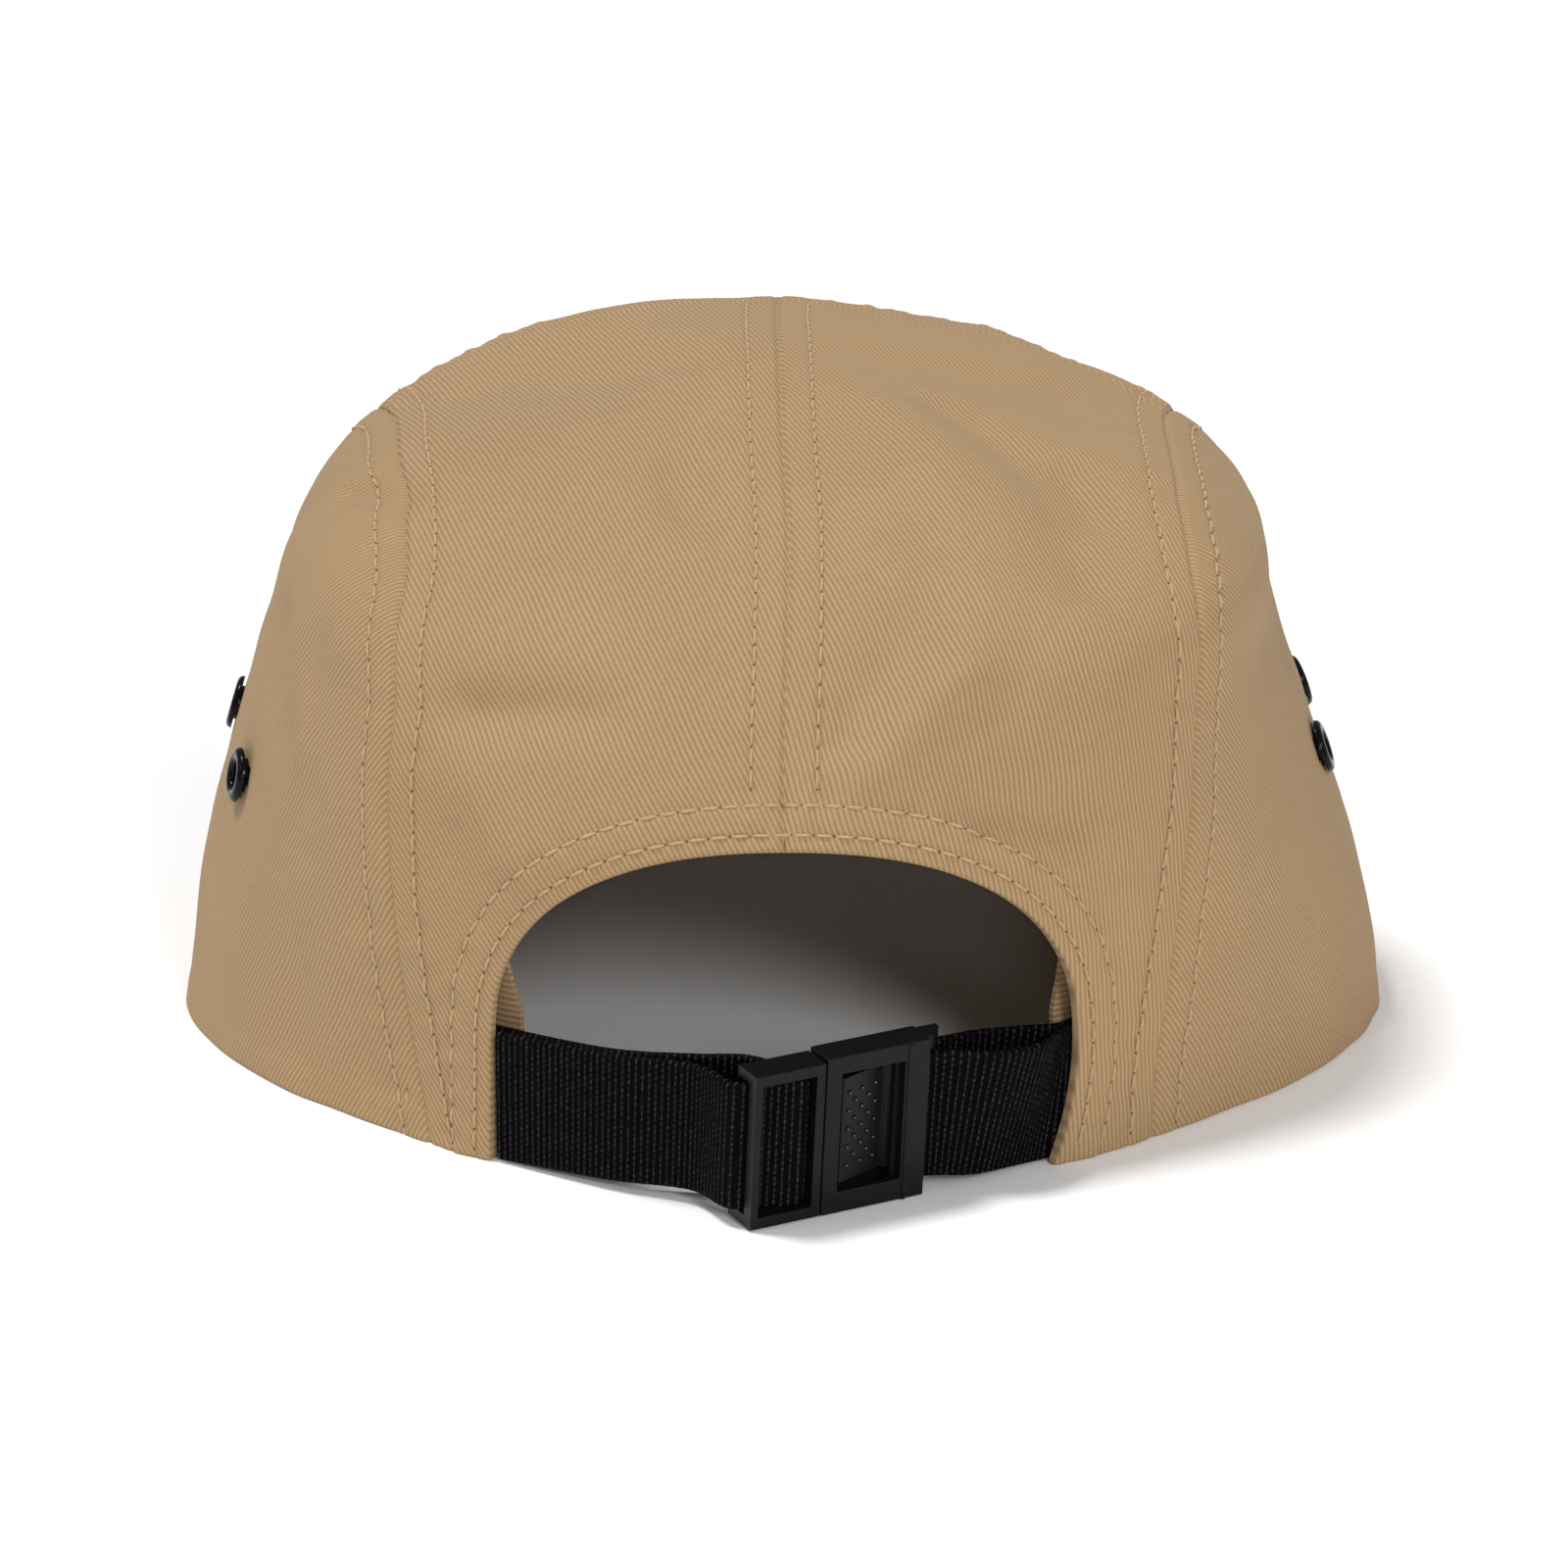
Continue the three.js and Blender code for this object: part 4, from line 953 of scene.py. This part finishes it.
def band_layer(share, up, thickness):
    """The sweatband's face at a thickness: the crown's inner face, further in where the strap
    lies between them near both ends."""
    slant = band_end_slant * np.maximum(band_height * up - band_slant_start, 0)
    from_turn, to_turn = hem_turn(band_end_left + slant), hem_turn(-band_end_right - slant)
    turn = from_turn + (2 * math.pi + to_turn - from_turn) * share
    top = find_place([1, 2], np.array([0.0, band_height]), np.array([0.62, 0.05]))
    out = hem_fold_out + (np.hypot(*top) - hem_fold_out) * up
    place = hem_place(turn) * out[..., None]
    past_strap = np.clip((np.minimum(share, 1 - share) - room_end) / room_fade, 0, 1)
    room = 2 * (strap_thickness + piece_gap) * (1 - past_strap ** 2 * (3 - 2 * past_strap))
    level = outward(smooth_crown, place)
    level[..., 2] = 0
    depth = cloth_wall + piece_gap + band_ease + room + thickness
    return smooth_crown(place) - unit(level) * depth[..., None]


share_grid, up_grid = np.meshgrid(np.linspace(0, 1, band_columns), np.linspace(0, 1, band_rows))
around = np.arange(band_columns) + 0 * up_grid
soft = band_wave * np.sin(around / 7.3 + 2 * np.sin(around / 31)) * up_grid
for seam_height, seam_depth in band_seams:
    soft -= seam_depth * bell(up_grid * band_height - seam_height, band_seam_width)
band_outer = band_layer(share_grid, up_grid, 0 * up_grid)
band_inner = band_layer(share_grid, up_grid, band_thickness + soft)
band_uv = np.stack([(up_grid * band_height).ravel(), around.ravel()], 1)
band_points = np.concatenate([band_outer[:, ::-1].reshape(-1, 3), band_inner[:, ::-1].reshape(-1, 3)])
new_piece("sweatband_cloth", band_points, wall_faces(band_rows, band_columns), band_twill,
          ("sweatband",), np.concatenate([band_uv, band_uv]))

# Strap: two lengths of 20 mm black polypropylene webbing, woven with ribs across their width.
# The left one passes round the clip's crossbar and back over itself to a folded, sewn end, and
# the right one is a loop round the clip's end bar. Both are sewn in under the back panels.
strap_width = 20
strap_lift = 0.4
strap_tuck = 8
tail_gap = 1.2
tail_ease = 0.3
left_sag = 1
tail_sag = 3.4
inner_sag = 9
right_sag = 1.5
right_bulge = 5
right_twist = 3
clip_yaw = math.radians(30)
clip_lean = math.radians(5)
clip_lift = 0.3
clip_reach = 12.5
clip_off_centre = 4.9
clip_depth = 5.2
insert_height = 24.2
insert_length = 11.5
insert_bar = 1.2
insert_bar_depth = 2
lower_rail = 1.4
receiver_length = 17.2
plate_thickness = 1.4
crossbar_radius = 0.9
crossbar_inset = 6.4
crossbar_set = 0.4
loop_slack = 1.3
end_bar_inset = 1.6
rib_pitch = 1.05
bump_pitch = 0.95
weave_height = 0.26
webbing_step = 0.21
webbing_columns = 84
selvage_start = 0.94

lean_way = np.array([[1, 0, 0], [0, math.cos(clip_lean), -math.sin(clip_lean)],
                     [0, math.sin(clip_lean), math.cos(clip_lean)]])
turn_way = np.array([[-math.cos(clip_yaw), math.sin(clip_yaw), 0],
                     [-math.sin(clip_yaw), -math.cos(clip_yaw), 0], [0, 0, 1]])
clip_way = turn_way @ lean_way
clip_place = np.array([clip_off_centre, smooth_crown(np.array([0.0, 1.0]))[1] + clip_reach, clip_lift])


def in_clip(length, depth, height):
    """A point in the clip's own frame: along it to the right, behind its front face, and up."""
    return clip_way @ np.array([length, depth, height]) + clip_place


def through_clip(length, depth, low):
    """The webbing's two edges in the clip: the low one, and the other a strap's width above it."""
    return np.array([in_clip(length, depth, low), in_clip(length, depth, low + strap_width)])


def under_panel(low_x, high_x, depth):
    """The webbing's two edges inside a back panel, so far behind its outer face."""
    pair = []
    for x, z in ((low_x, strap_lift), (high_x, strap_lift + strap_width)):
        place = find_place([0, 2], np.array([x, z], float), np.array([x / crown_width, 0.75]))
        level = outward(smooth_crown, place)
        level[2] = 0
        point = smooth_crown(place) - unit(level) * depth
        point[2] = z
        pair.append(point)
    return np.array(pair)


def on_the_way(start, end, share, low_out, high_out):
    """A share of the way from one pair of edges to another, each edge moved outwards."""
    run = end - start
    away = unit(np.stack([-run[:, 1], run[:, 0], 0 * run[:, 0]], -1))
    away = away * np.where(away[:, 1:2] < 0, -1, 1)
    return start + run * share + away * np.array([[low_out], [high_out]])


def round_bar(length, depth, way, low, angles):
    """The webbing round a bar of the clip, at angles from its rear."""
    radius = crossbar_radius + piece_gap + strap_thickness / 2
    return [through_clip(length + way * radius * math.sin(math.radians(angle)),
                         depth + radius * math.cos(math.radians(angle)), low) for angle in angles]


def webbing_curve(points, place):
    """The centripetal curve through a strap's points: as a smooth cubic, with slopes that weigh
    the spans by the square root of their lengths."""
    ends = np.concatenate([2 * points[:1] - points[1:2], points, 2 * points[-1:] - points[-2:-1]])
    span = np.maximum(np.linalg.norm(np.diff(ends, axis=0), axis=1), 1e-9) ** 0.5
    index = np.clip(np.floor(place).astype(int), 0, len(points) - 2)
    f = (place - index)[:, None]
    a, b, c, d = (ends[index + step] for step in range(4))
    ab, bc, cd = (span[index + step][:, None] for step in range(3))
    slope_b = ((b - a) / ab - (c - a) / (ab + bc) + (c - b) / bc) * bc
    slope_c = ((c - b) / bc - (d - b) / (bc + cd) + (d - c) / cd) * bc
    return (b + slope_b * f + (3 * (c - b) - 2 * slope_b - slope_c) * f ** 2
            + (2 * (b - c) + slope_b + slope_c) * f ** 3)


def webbing_piece(name, rails, replaced, finish_relief):
    """Webbing along two rails. Across it lie round ribs, each a row of small bumps, its edges are
    thinner than its middle, and both faces carry the same weave."""
    rails = np.array(rails)
    rough = np.linspace(0, len(rails) - 1 - 1e-9, 60 * len(rails))
    middle = (webbing_curve(rails[:, 0], rough) + webbing_curve(rails[:, 1], rough)) / 2
    arc = np.concatenate([[0], np.cumsum(np.linalg.norm(np.diff(middle, axis=0), axis=1))])
    along = np.linspace(0, arc[-1], int(arc[-1] / webbing_step))
    place = np.interp(along, arc, rough)
    low, high = (webbing_curve(rails[:, k], place) for k in (0, 1))
    width = np.linspace(0, 1, webbing_columns)
    points = low[:, None] + (high - low)[:, None] * width[None, :, None]
    tangent = unit(np.gradient((low + high) / 2, axis=0))
    away = unit(np.cross(tangent, high - low))[:, None]
    side = np.abs(2 * width - 1)
    selvage = np.sqrt(1 - (np.clip(side - selvage_start, 0, 0.055) / (1 - selvage_start)) ** 2)[None]
    rib = 0.5 + 0.5 * np.cos(2 * np.pi * along / rib_pitch)[:, None]
    turn = 2 * np.pi * width[None] * strap_width / bump_pitch + np.pi * along[:, None] / rib_pitch
    bump = 0.5 + 0.5 * np.cos(turn)
    weave = weave_height * (rib ** 0.8 * (0.35 + 0.65 * bump) - 0.5)
    half = (strap_thickness / 2 + weave) * selvage
    outer = points + away * (half + finish_relief(along, arc[-1])[:, None])[..., None]
    inner = points - away * half[..., None]
    uv = np.stack(np.broadcast_arrays(along[:, None], width[None] * strap_width), -1).reshape(-1, 2)
    faces = wall_faces(len(along), len(width))
    facing = np.cross(outer[1:, 1:] - outer[:-1, :-1], outer[1:, :-1] - outer[:-1, 1:])
    if (facing * away[1:]).sum() < 0:
        faces = [face[::-1] for face in faces]
    new_piece(name, np.concatenate([outer.reshape(-1, 3), inner.reshape(-1, 3)]), faces,
              black_webbing, replaced, np.concatenate([uv, uv]), 60)


# The webbing is black yarn, painted lighter on the crests of its ribs' bumps where the sparkle noise
# peaks: these light specks are painted highlights of the shiny yarn.
black_webbing = bpy.data.materials.new("black_webbing")
shader, links, add, arithmetic = nodes_of(black_webbing)
chart = add("ShaderNodeUVMap", uv_map="cloth_mm")
axes = add("ShaderNodeSeparateXYZ")
links.new(chart.outputs["UV"], axes.inputs[0])
rib_wave = arithmetic("COSINE", arithmetic("MULTIPLY", axes.outputs["X"], 2 * math.pi / rib_pitch))
strand = add("ShaderNodeTexNoise", Scale=1.4, Detail=3.0)
links.new(chart.outputs["UV"], strand.inputs["Vector"])
bump_turn = arithmetic("ADD", arithmetic("MULTIPLY", axes.outputs["Y"], 2 * math.pi / bump_pitch),
                       arithmetic("MULTIPLY", axes.outputs["X"], math.pi / rib_pitch))
bump_wave = arithmetic("MULTIPLY_ADD", arithmetic("COSINE", bump_turn), 0.5, 0.5)
rib_crest = arithmetic("POWER", arithmetic("MAXIMUM", rib_wave, 0.0), 2.5)
bump_crest = arithmetic("MULTIPLY", rib_crest, arithmetic("MULTIPLY_ADD", bump_wave, 0.8, 0.2))
sparkle = arithmetic("POWER", arithmetic("MULTIPLY", strand.outputs[0], 1.8), 3.0)
crest = arithmetic("MULTIPLY", bump_crest, sparkle)
# Dark is the yarn's own black; light is the painted glint on the crests.
black_yarn_and_painted_glints = add("ShaderNodeMix", data_type="RGBA")
black_yarn_and_painted_glints.inputs[6].default_value = srgb(5, 4, 6)
black_yarn_and_painted_glints.inputs[7].default_value = srgb(56, 53, 57)
links.new(crest, black_yarn_and_painted_glints.inputs[0])
links.new(black_yarn_and_painted_glints.outputs[2], shader.inputs["Base Color"])
yarn_relief = add("ShaderNodeBump", Strength=0.7, Distance=0.05 * mm)
links.new(strand.outputs[0], yarn_relief.inputs["Height"])
links.new(yarn_relief.outputs[0], shader.inputs["Normal"])
shader.inputs["Roughness"].default_value = 0.62
shader.inputs["Specular IOR Level"].default_value = 0.03

ply = strap_thickness + piece_gap
outer_ply_depth = cloth_wall + piece_gap + strap_thickness / 2
crossbar_depth = crossbar_set + ply + crossbar_radius
end_bar_depth = plate_thickness + ply + piece_gap + crossbar_radius
receiver_start = insert_length + piece_gap
end_bar_length = receiver_start + receiver_length - end_bar_inset
half_arch = arch_width / 2

low = (insert_height - strap_width) / 2
tuck_end, tuck_middle, leave = (under_panel(half_arch + tuck, half_arch + tuck, outer_ply_depth)
                                for tuck in (strap_tuck, strap_tuck / 2, 0))
beside_clip = through_clip(-1, clip_depth + piece_gap * 2, low)
behind_bar = insert_bar_depth + piece_gap + strap_thickness / 2
tail_beside = through_clip(-1, behind_bar + ply / 2, low)
tail_end = under_panel(half_arch - tail_gap, half_arch - tail_gap, outer_ply_depth - ply - tail_ease)
left_rails = [tuck_end, tuck_middle, leave]
left_rails += [on_the_way(leave, beside_clip, share, -sag, -sag)
               for share, sag in ((0.5, left_sag), (0.76, inner_sag * 0.62), (0.91, inner_sag))]
left_rails += round_bar(crossbar_inset + loop_slack, crossbar_depth, 1, low, (30, 70, 110, 150, 180))
left_rails += [through_clip(insert_bar * 2.5, behind_bar - ply / 5, low), tail_beside]
left_rails += [on_the_way(tail_end, tail_beside, share, -sag, -sag)
               for share, sag in ((0.77, tail_sag), (0.47, left_sag))]
left_rails.append(tail_end)
folded_end = 5.8
folded_lift = 0.22
folded_groove = 0.4


def sewn_end(along, length):
    """The folded end is a little thicker, with a groove along the stitches that hold it."""
    from_end = length - along
    return (folded_lift * step_down(from_end, folded_end, 1.0)
            - folded_groove * bell(from_end - folded_end, groove_width))


webbing_piece("strap_left_webbing", left_rails, ("strap_left",), sewn_end)

low = lower_rail + piece_gap
outer_rails, inner_rails = (
    [under_panel(-half_arch - strap_tuck, -half_arch - strap_tuck, depth),
     under_panel(-half_arch, -half_arch, depth),
     under_panel(-half_arch + right_foot_turn_in + 1, -half_arch + 1, depth)]
    for depth in (outer_ply_depth, outer_ply_depth + ply))
outside_clip = end_bar_length + end_bar_inset + 1
clip_outer = through_clip(outside_clip, plate_thickness + piece_gap + strap_thickness / 2, low)
clip_inner = through_clip(outside_clip, end_bar_depth + ply, low)
right_rails = outer_rails + [
    on_the_way(outer_rails[2], clip_outer, share, right_bulge - low_less, right_bulge - high_less)
    for share, low_less, high_less in ((0.3, right_twist + 1, 0.5), (0.62, right_twist, 0))]
right_rails += [clip_outer] + round_bar(end_bar_length, end_bar_depth, -1, low, (180, 135, 90, 45, 0))
right_rails += [clip_inner, on_the_way(inner_rails[2], clip_inner, 0.5, -right_sag, -right_sag)]
right_rails += inner_rails[::-1]
webbing_piece("strap_right_webbing", right_rails, ("strap_right",), lambda along, length: 0 * along)

# Clip: a fastened buckle of black moulded plastic with a satin skin. Its insert is an open frame
# with a crossbar and a sprung thumb tongue, and its receiver a flat sleeve with a window for it.
edge_radius = 0.45
satin_plastic = mottled("black_satin_plastic", srgb(11, 11, 11), srgb(20, 20, 20), 1900.0, 3.0,
                        Roughness=0.36, Specular_IOR_Level=0.17)
shader, links, add, arithmetic = nodes_of(satin_plastic)
grain = satin_plastic.node_tree.nodes["mottle"]
skin_relief = add("ShaderNodeBump", Strength=0.5, Distance=0.03 * mm)
links.new(grain.outputs[0], skin_relief.inputs["Height"])
links.new(skin_relief.outputs[0], shader.inputs["Normal"])


def moulded(node, name):
    """A copy of the solid with its corners merged and its edges rounded as a mould leaves them."""
    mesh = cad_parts[node].data.copy()
    mesh.name = name
    shape = bmesh.new()
    shape.from_mesh(mesh)
    bmesh.ops.remove_doubles(shape, verts=shape.verts, dist=1e-6)
    bmesh.ops.dissolve_limit(shape, angle_limit=math.radians(1), verts=shape.verts, edges=shape.edges)
    shape.to_mesh(mesh)
    shape.free()
    mesh.materials.clear()
    mesh.materials.append(satin_plastic)
    piece = placed(name, mesh)
    rounding = piece.modifiers.new("mould_radius", "BEVEL")
    rounding.width = edge_radius * mm
    rounding.segments = 3
    rounding.limit_method = "ANGLE"
    rounding.angle_limit = math.radians(35)
    rounding.harden_normals = True
    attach(piece, "root")
    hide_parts(node)


moulded("buckle_insert", "clip_insert")
moulded("buckle_receiver", "clip_receiver")
window_inset = 2.6
window_length = 10.5
window_margin = 3.2
window_top_margin = 2.2
tongue_gap = 0.5
tongue_front = 0.7
tongue_dip = 3
tongue_lip = 0.9
dot_radius = 0.38
dot_height = 0.45
dot_columns = (5, 4, 5, 4, 5)
dot_start = 0.75
dot_column_step = 1.3
dot_row_step = 2.9
dot_sides = 10
slope_start = receiver_start + window_inset + 2 * tongue_gap
slope_end = receiver_start + window_inset + window_length - 2 * tongue_gap - tongue_lip
slope_middle = window_margin + (insert_height - window_margin - window_top_margin) / 2
slope = (tongue_dip - tongue_front) / (slope_end - slope_start)
dot_places = []
for column, count in enumerate(dot_columns):
    run = dot_start + column * dot_column_step
    for row in range(count):
        dot_places.append((slope_start + run, tongue_front + slope * run,
                           slope_middle + (row - (count - 1) / 2) * dot_row_step))
slope_tilt = math.atan(slope)
slope_out = clip_way @ np.array([math.sin(slope_tilt), -math.cos(slope_tilt), 0])
slope_along = clip_way @ np.array([math.cos(slope_tilt), math.sin(slope_tilt), 0])
dot_turn = np.linspace(0, np.pi / 2, 5)
dot_centres = np.array([in_clip(*place) for place in dot_places])
dot_rise = np.concatenate([[-0.2], dot_height * np.sin(dot_turn)])
dot_rings = dot_centres[:, None] + slope_out * dot_rise[:, None]
dot_radii = dot_radius * np.concatenate([[1], np.maximum(np.cos(dot_turn), 0.08)])
dot_points, dot_faces = joined_tubes(
    dot_rings, np.broadcast_to(slope_along, dot_rings.shape),
    np.broadcast_to(np.cross(slope_out, slope_along), dot_rings.shape),
    np.broadcast_to(dot_radii, dot_rings.shape[:2]), dot_sides)
worn_plastic = satin_plastic.copy()
worn_plastic.name = "worn_black_plastic"
shader = nodes_of(worn_plastic)[0]
shader.inputs["Roughness"].default_value = 0.22
shader.inputs["Specular IOR Level"].default_value = 0.7
new_piece("tongue_dots", dot_points, dot_faces, worn_plastic)


def upright_prism(name, outline, low_end, high_end):
    """An upright bar of the clip: an outline of lengths and depths drawn out between two heights."""
    points = np.array([in_clip(*spot, end) for end in (low_end, high_end) for spot in outline])
    count = len(outline)
    loop = list(range(count))
    faces = [[k, (k + 1) % count, (k + 1) % count + count, k + count] for k in loop]
    faces += [loop[::-1], [k + count for k in loop]]
    new_piece(name, points, faces, satin_plastic)


# Inside the sleeve, a web closes it between the window and the end bar, with an arm in front.
web_start, web_end = 20, 24.7
web_front, web_back = 1.5, 5.1
web_wall = 0.6
arm_start, arm_end = 24.1, 25.9
arm_wall = 0.45
web_outline = [
    (web_start, web_back), (web_end, web_back), (web_end, web_front + arm_wall),
    (arm_end, web_front + arm_wall), (arm_end, web_front), (arm_start, web_front),
    (arm_start, web_back - web_wall), (web_start, web_back - web_wall),
]
upright_prism("clip_inner_web", web_outline, 0.9, 23.2)

# A low half round rib runs down the plate beside the window, and the top rail goes on past the
# plate in a bow.
rib_length = 25.6
rib_radius = 0.4
rib_sink = 0.1
rib_bottom = -0.1
rib_outline = [(rib_length + rib_radius * math.cos(turn), rib_sink - rib_radius * math.sin(turn))
               for turn in np.linspace(0, math.pi, 9)]
rail_bottom, rail_top = 22.3, 24.5
rail_outline = [(28.6, 5.0), (32.6, 5.0), (32.6, 4.0), (31.6, 2.6), (30.2, 1.7), (28.6, 1.5)]
upright_prism("clip_rib", rib_outline, rib_bottom, rail_top)
upright_prism("clip_rail_end", rail_outline, rail_bottom, rail_top)

# Eyelets: pressed metal rings with black enamel, two in each side panel. Each is a round lip
# outside, a tube through the cloth and a flat flange inside.
eyelet_outer = 8.4
eyelet_hole = 4
eyelet_stand = 1.0
eyelet_seat = 0.45
eyelet_tube = 0.7
flange_share = 0.86
flange_thickness = 0.6
flange_chamfer = 0.15
black_enamel = mottled("black_enamel", srgb(6, 6, 7), srgb(14, 14, 15), 400.0, 3.0,
                       Specular_IOR_Level=0.12)
shader, links, add, arithmetic = nodes_of(black_enamel)
haze = black_enamel.node_tree.nodes["mottle"]
gloss = add("ShaderNodeMapRange", To_Min=0.12, To_Max=0.24)
links.new(haze.outputs[0], gloss.inputs["Value"])
links.new(gloss.outputs[0], shader.inputs["Roughness"])


def eyelet_profile():
    """The ring's section, once round: up the bore, over a half round lip, under it to the tube,
    down through the cloth and round the inner flange."""
    hole, rim = eyelet_hole / 2, eyelet_outer / 2
    swing = np.linspace(0, np.pi, 15)
    middle, half = (hole + rim) / 2, (rim - hole) / 2
    lip = np.stack([middle - half * np.cos(swing),
                    eyelet_seat + eyelet_stand * np.sin(swing) ** 0.8], 1)
    tube, flange = hole + eyelet_tube, rim * flange_share
    inside = -cloth_wall - eyelet_seat
    bottom = inside - flange_thickness
    under = np.array([[tube, eyelet_seat], [tube, inside], [flange, inside],
                      [flange, bottom + flange_chamfer], [rim * 0.8, bottom], [hole, bottom]])
    return np.concatenate([lip, under])


def eyelet(name, side, along, height):
    """The section turned round the seat's outward direction on the crown."""
    centre, normal = eyelet_axis(side, along, height)
    first = unit(np.cross(normal, [0, 0, 1]))
    second = np.cross(normal, first)
    angle = np.linspace(0, 2 * np.pi, 48, endpoint=False)
    profile = eyelet_profile()
    spokes = np.cos(angle)[:, None] * first + np.sin(angle)[:, None] * second
    points = centre + profile[None, :, :1] * spokes[:, None] + profile[None, :, 1:] * normal
    index = np.arange(points[..., 0].size).reshape(points.shape[:2])
    next_spoke, next_point = np.roll(index, -1, 0), np.roll(index, -1, 1)
    quads = np.stack([next_spoke, np.roll(next_spoke, -1, 1), next_point, index], -1)
    new_piece(name + "_ring", points.reshape(-1, 3), quads.reshape(-1, 4).tolist(), black_enamel,
              (name,))


for name, seat in eyelet_seats.items():
    eyelet(name, *seat)

# Table and studio: white paper in a white room, under a strong soft light from above and one
# beside the camera, with three weak ones that lift the shadows. They aren't part of the cap.
half_table = 3.0
table_corners = [(x * half_table, y * half_table, 0) for x, y in ((-1, -1), (1, -1), (1, 1), (-1, 1))]
table_mesh = bpy.data.meshes.new("white_table")
table_mesh.from_pydata(table_corners, [], [(0, 1, 2, 3)])
white_paper = mottled("white_paper", (0.95, 0.95, 0.95, 1), (0.97, 0.97, 0.97, 1), 300.0,
                      Roughness=1.0, Specular_IOR_Level=0.0)
table_mesh.materials.append(white_paper)
table = placed("white_table", table_mesh)

world = bpy.data.worlds.new("white_room")
bpy.context.scene.world = world
world.use_nodes = True
world.node_tree.nodes["Background"].inputs["Color"].default_value = (1, 1, 1, 1)
world.node_tree.nodes["Background"].inputs["Strength"].default_value = 0.33


def soft_light(name, turn, rise, spread, strength):
    """Even light from a wide round patch far away, at a turn from behind the cap towards its left
    and a rise above the table, in degrees."""
    lamp = bpy.data.lights.new(name, "SUN")
    lamp.angle = math.radians(spread)
    lamp.energy = strength
    holder = placed(name, lamp)
    holder.rotation_euler = (math.radians(90 - rise), 0, math.radians(180 - turn))


soft_light("overhead_softbox", turn=105, rise=70, spread=14, strength=2.1)
soft_light("left_softbox", turn=70, rise=34, spread=12, strength=0.22)
soft_light("right_softbox", turn=-62, rise=30, spread=14, strength=0.3)
soft_light("camera_softbox", turn=-19, rise=27, spread=15, strength=1.16)
soft_light("low_softbox", turn=0, rise=14, spread=10, strength=0.28)
bpy.context.scene.view_settings.view_transform = "Standard"

# Camera: a long lens looking at the cap from behind and a little above, as the photograph does.
# The picture's side and the focal length are in its own pixels.
picture_side = 1600
focal_pixels = 7205
sensor_width = 36
camera_distance = 1.1
camera_elevation = math.radians(18.5)
aim_height = 0.0359
back, rise = math.cos(camera_elevation), math.sin(camera_elevation)
camera_data = bpy.data.cameras.new("camera")
camera_data.lens = focal_pixels / picture_side * sensor_width
camera_data.sensor_width = sensor_width
camera = placed("camera", camera_data)
bpy.context.scene.camera = camera
camera.location = (0, crown_shift[1] * mm + camera_distance * back - aim_height * rise,
                   camera_distance * rise + aim_height * back)
camera.rotation_euler = (math.pi / 2 - camera_elevation, 0, math.pi)
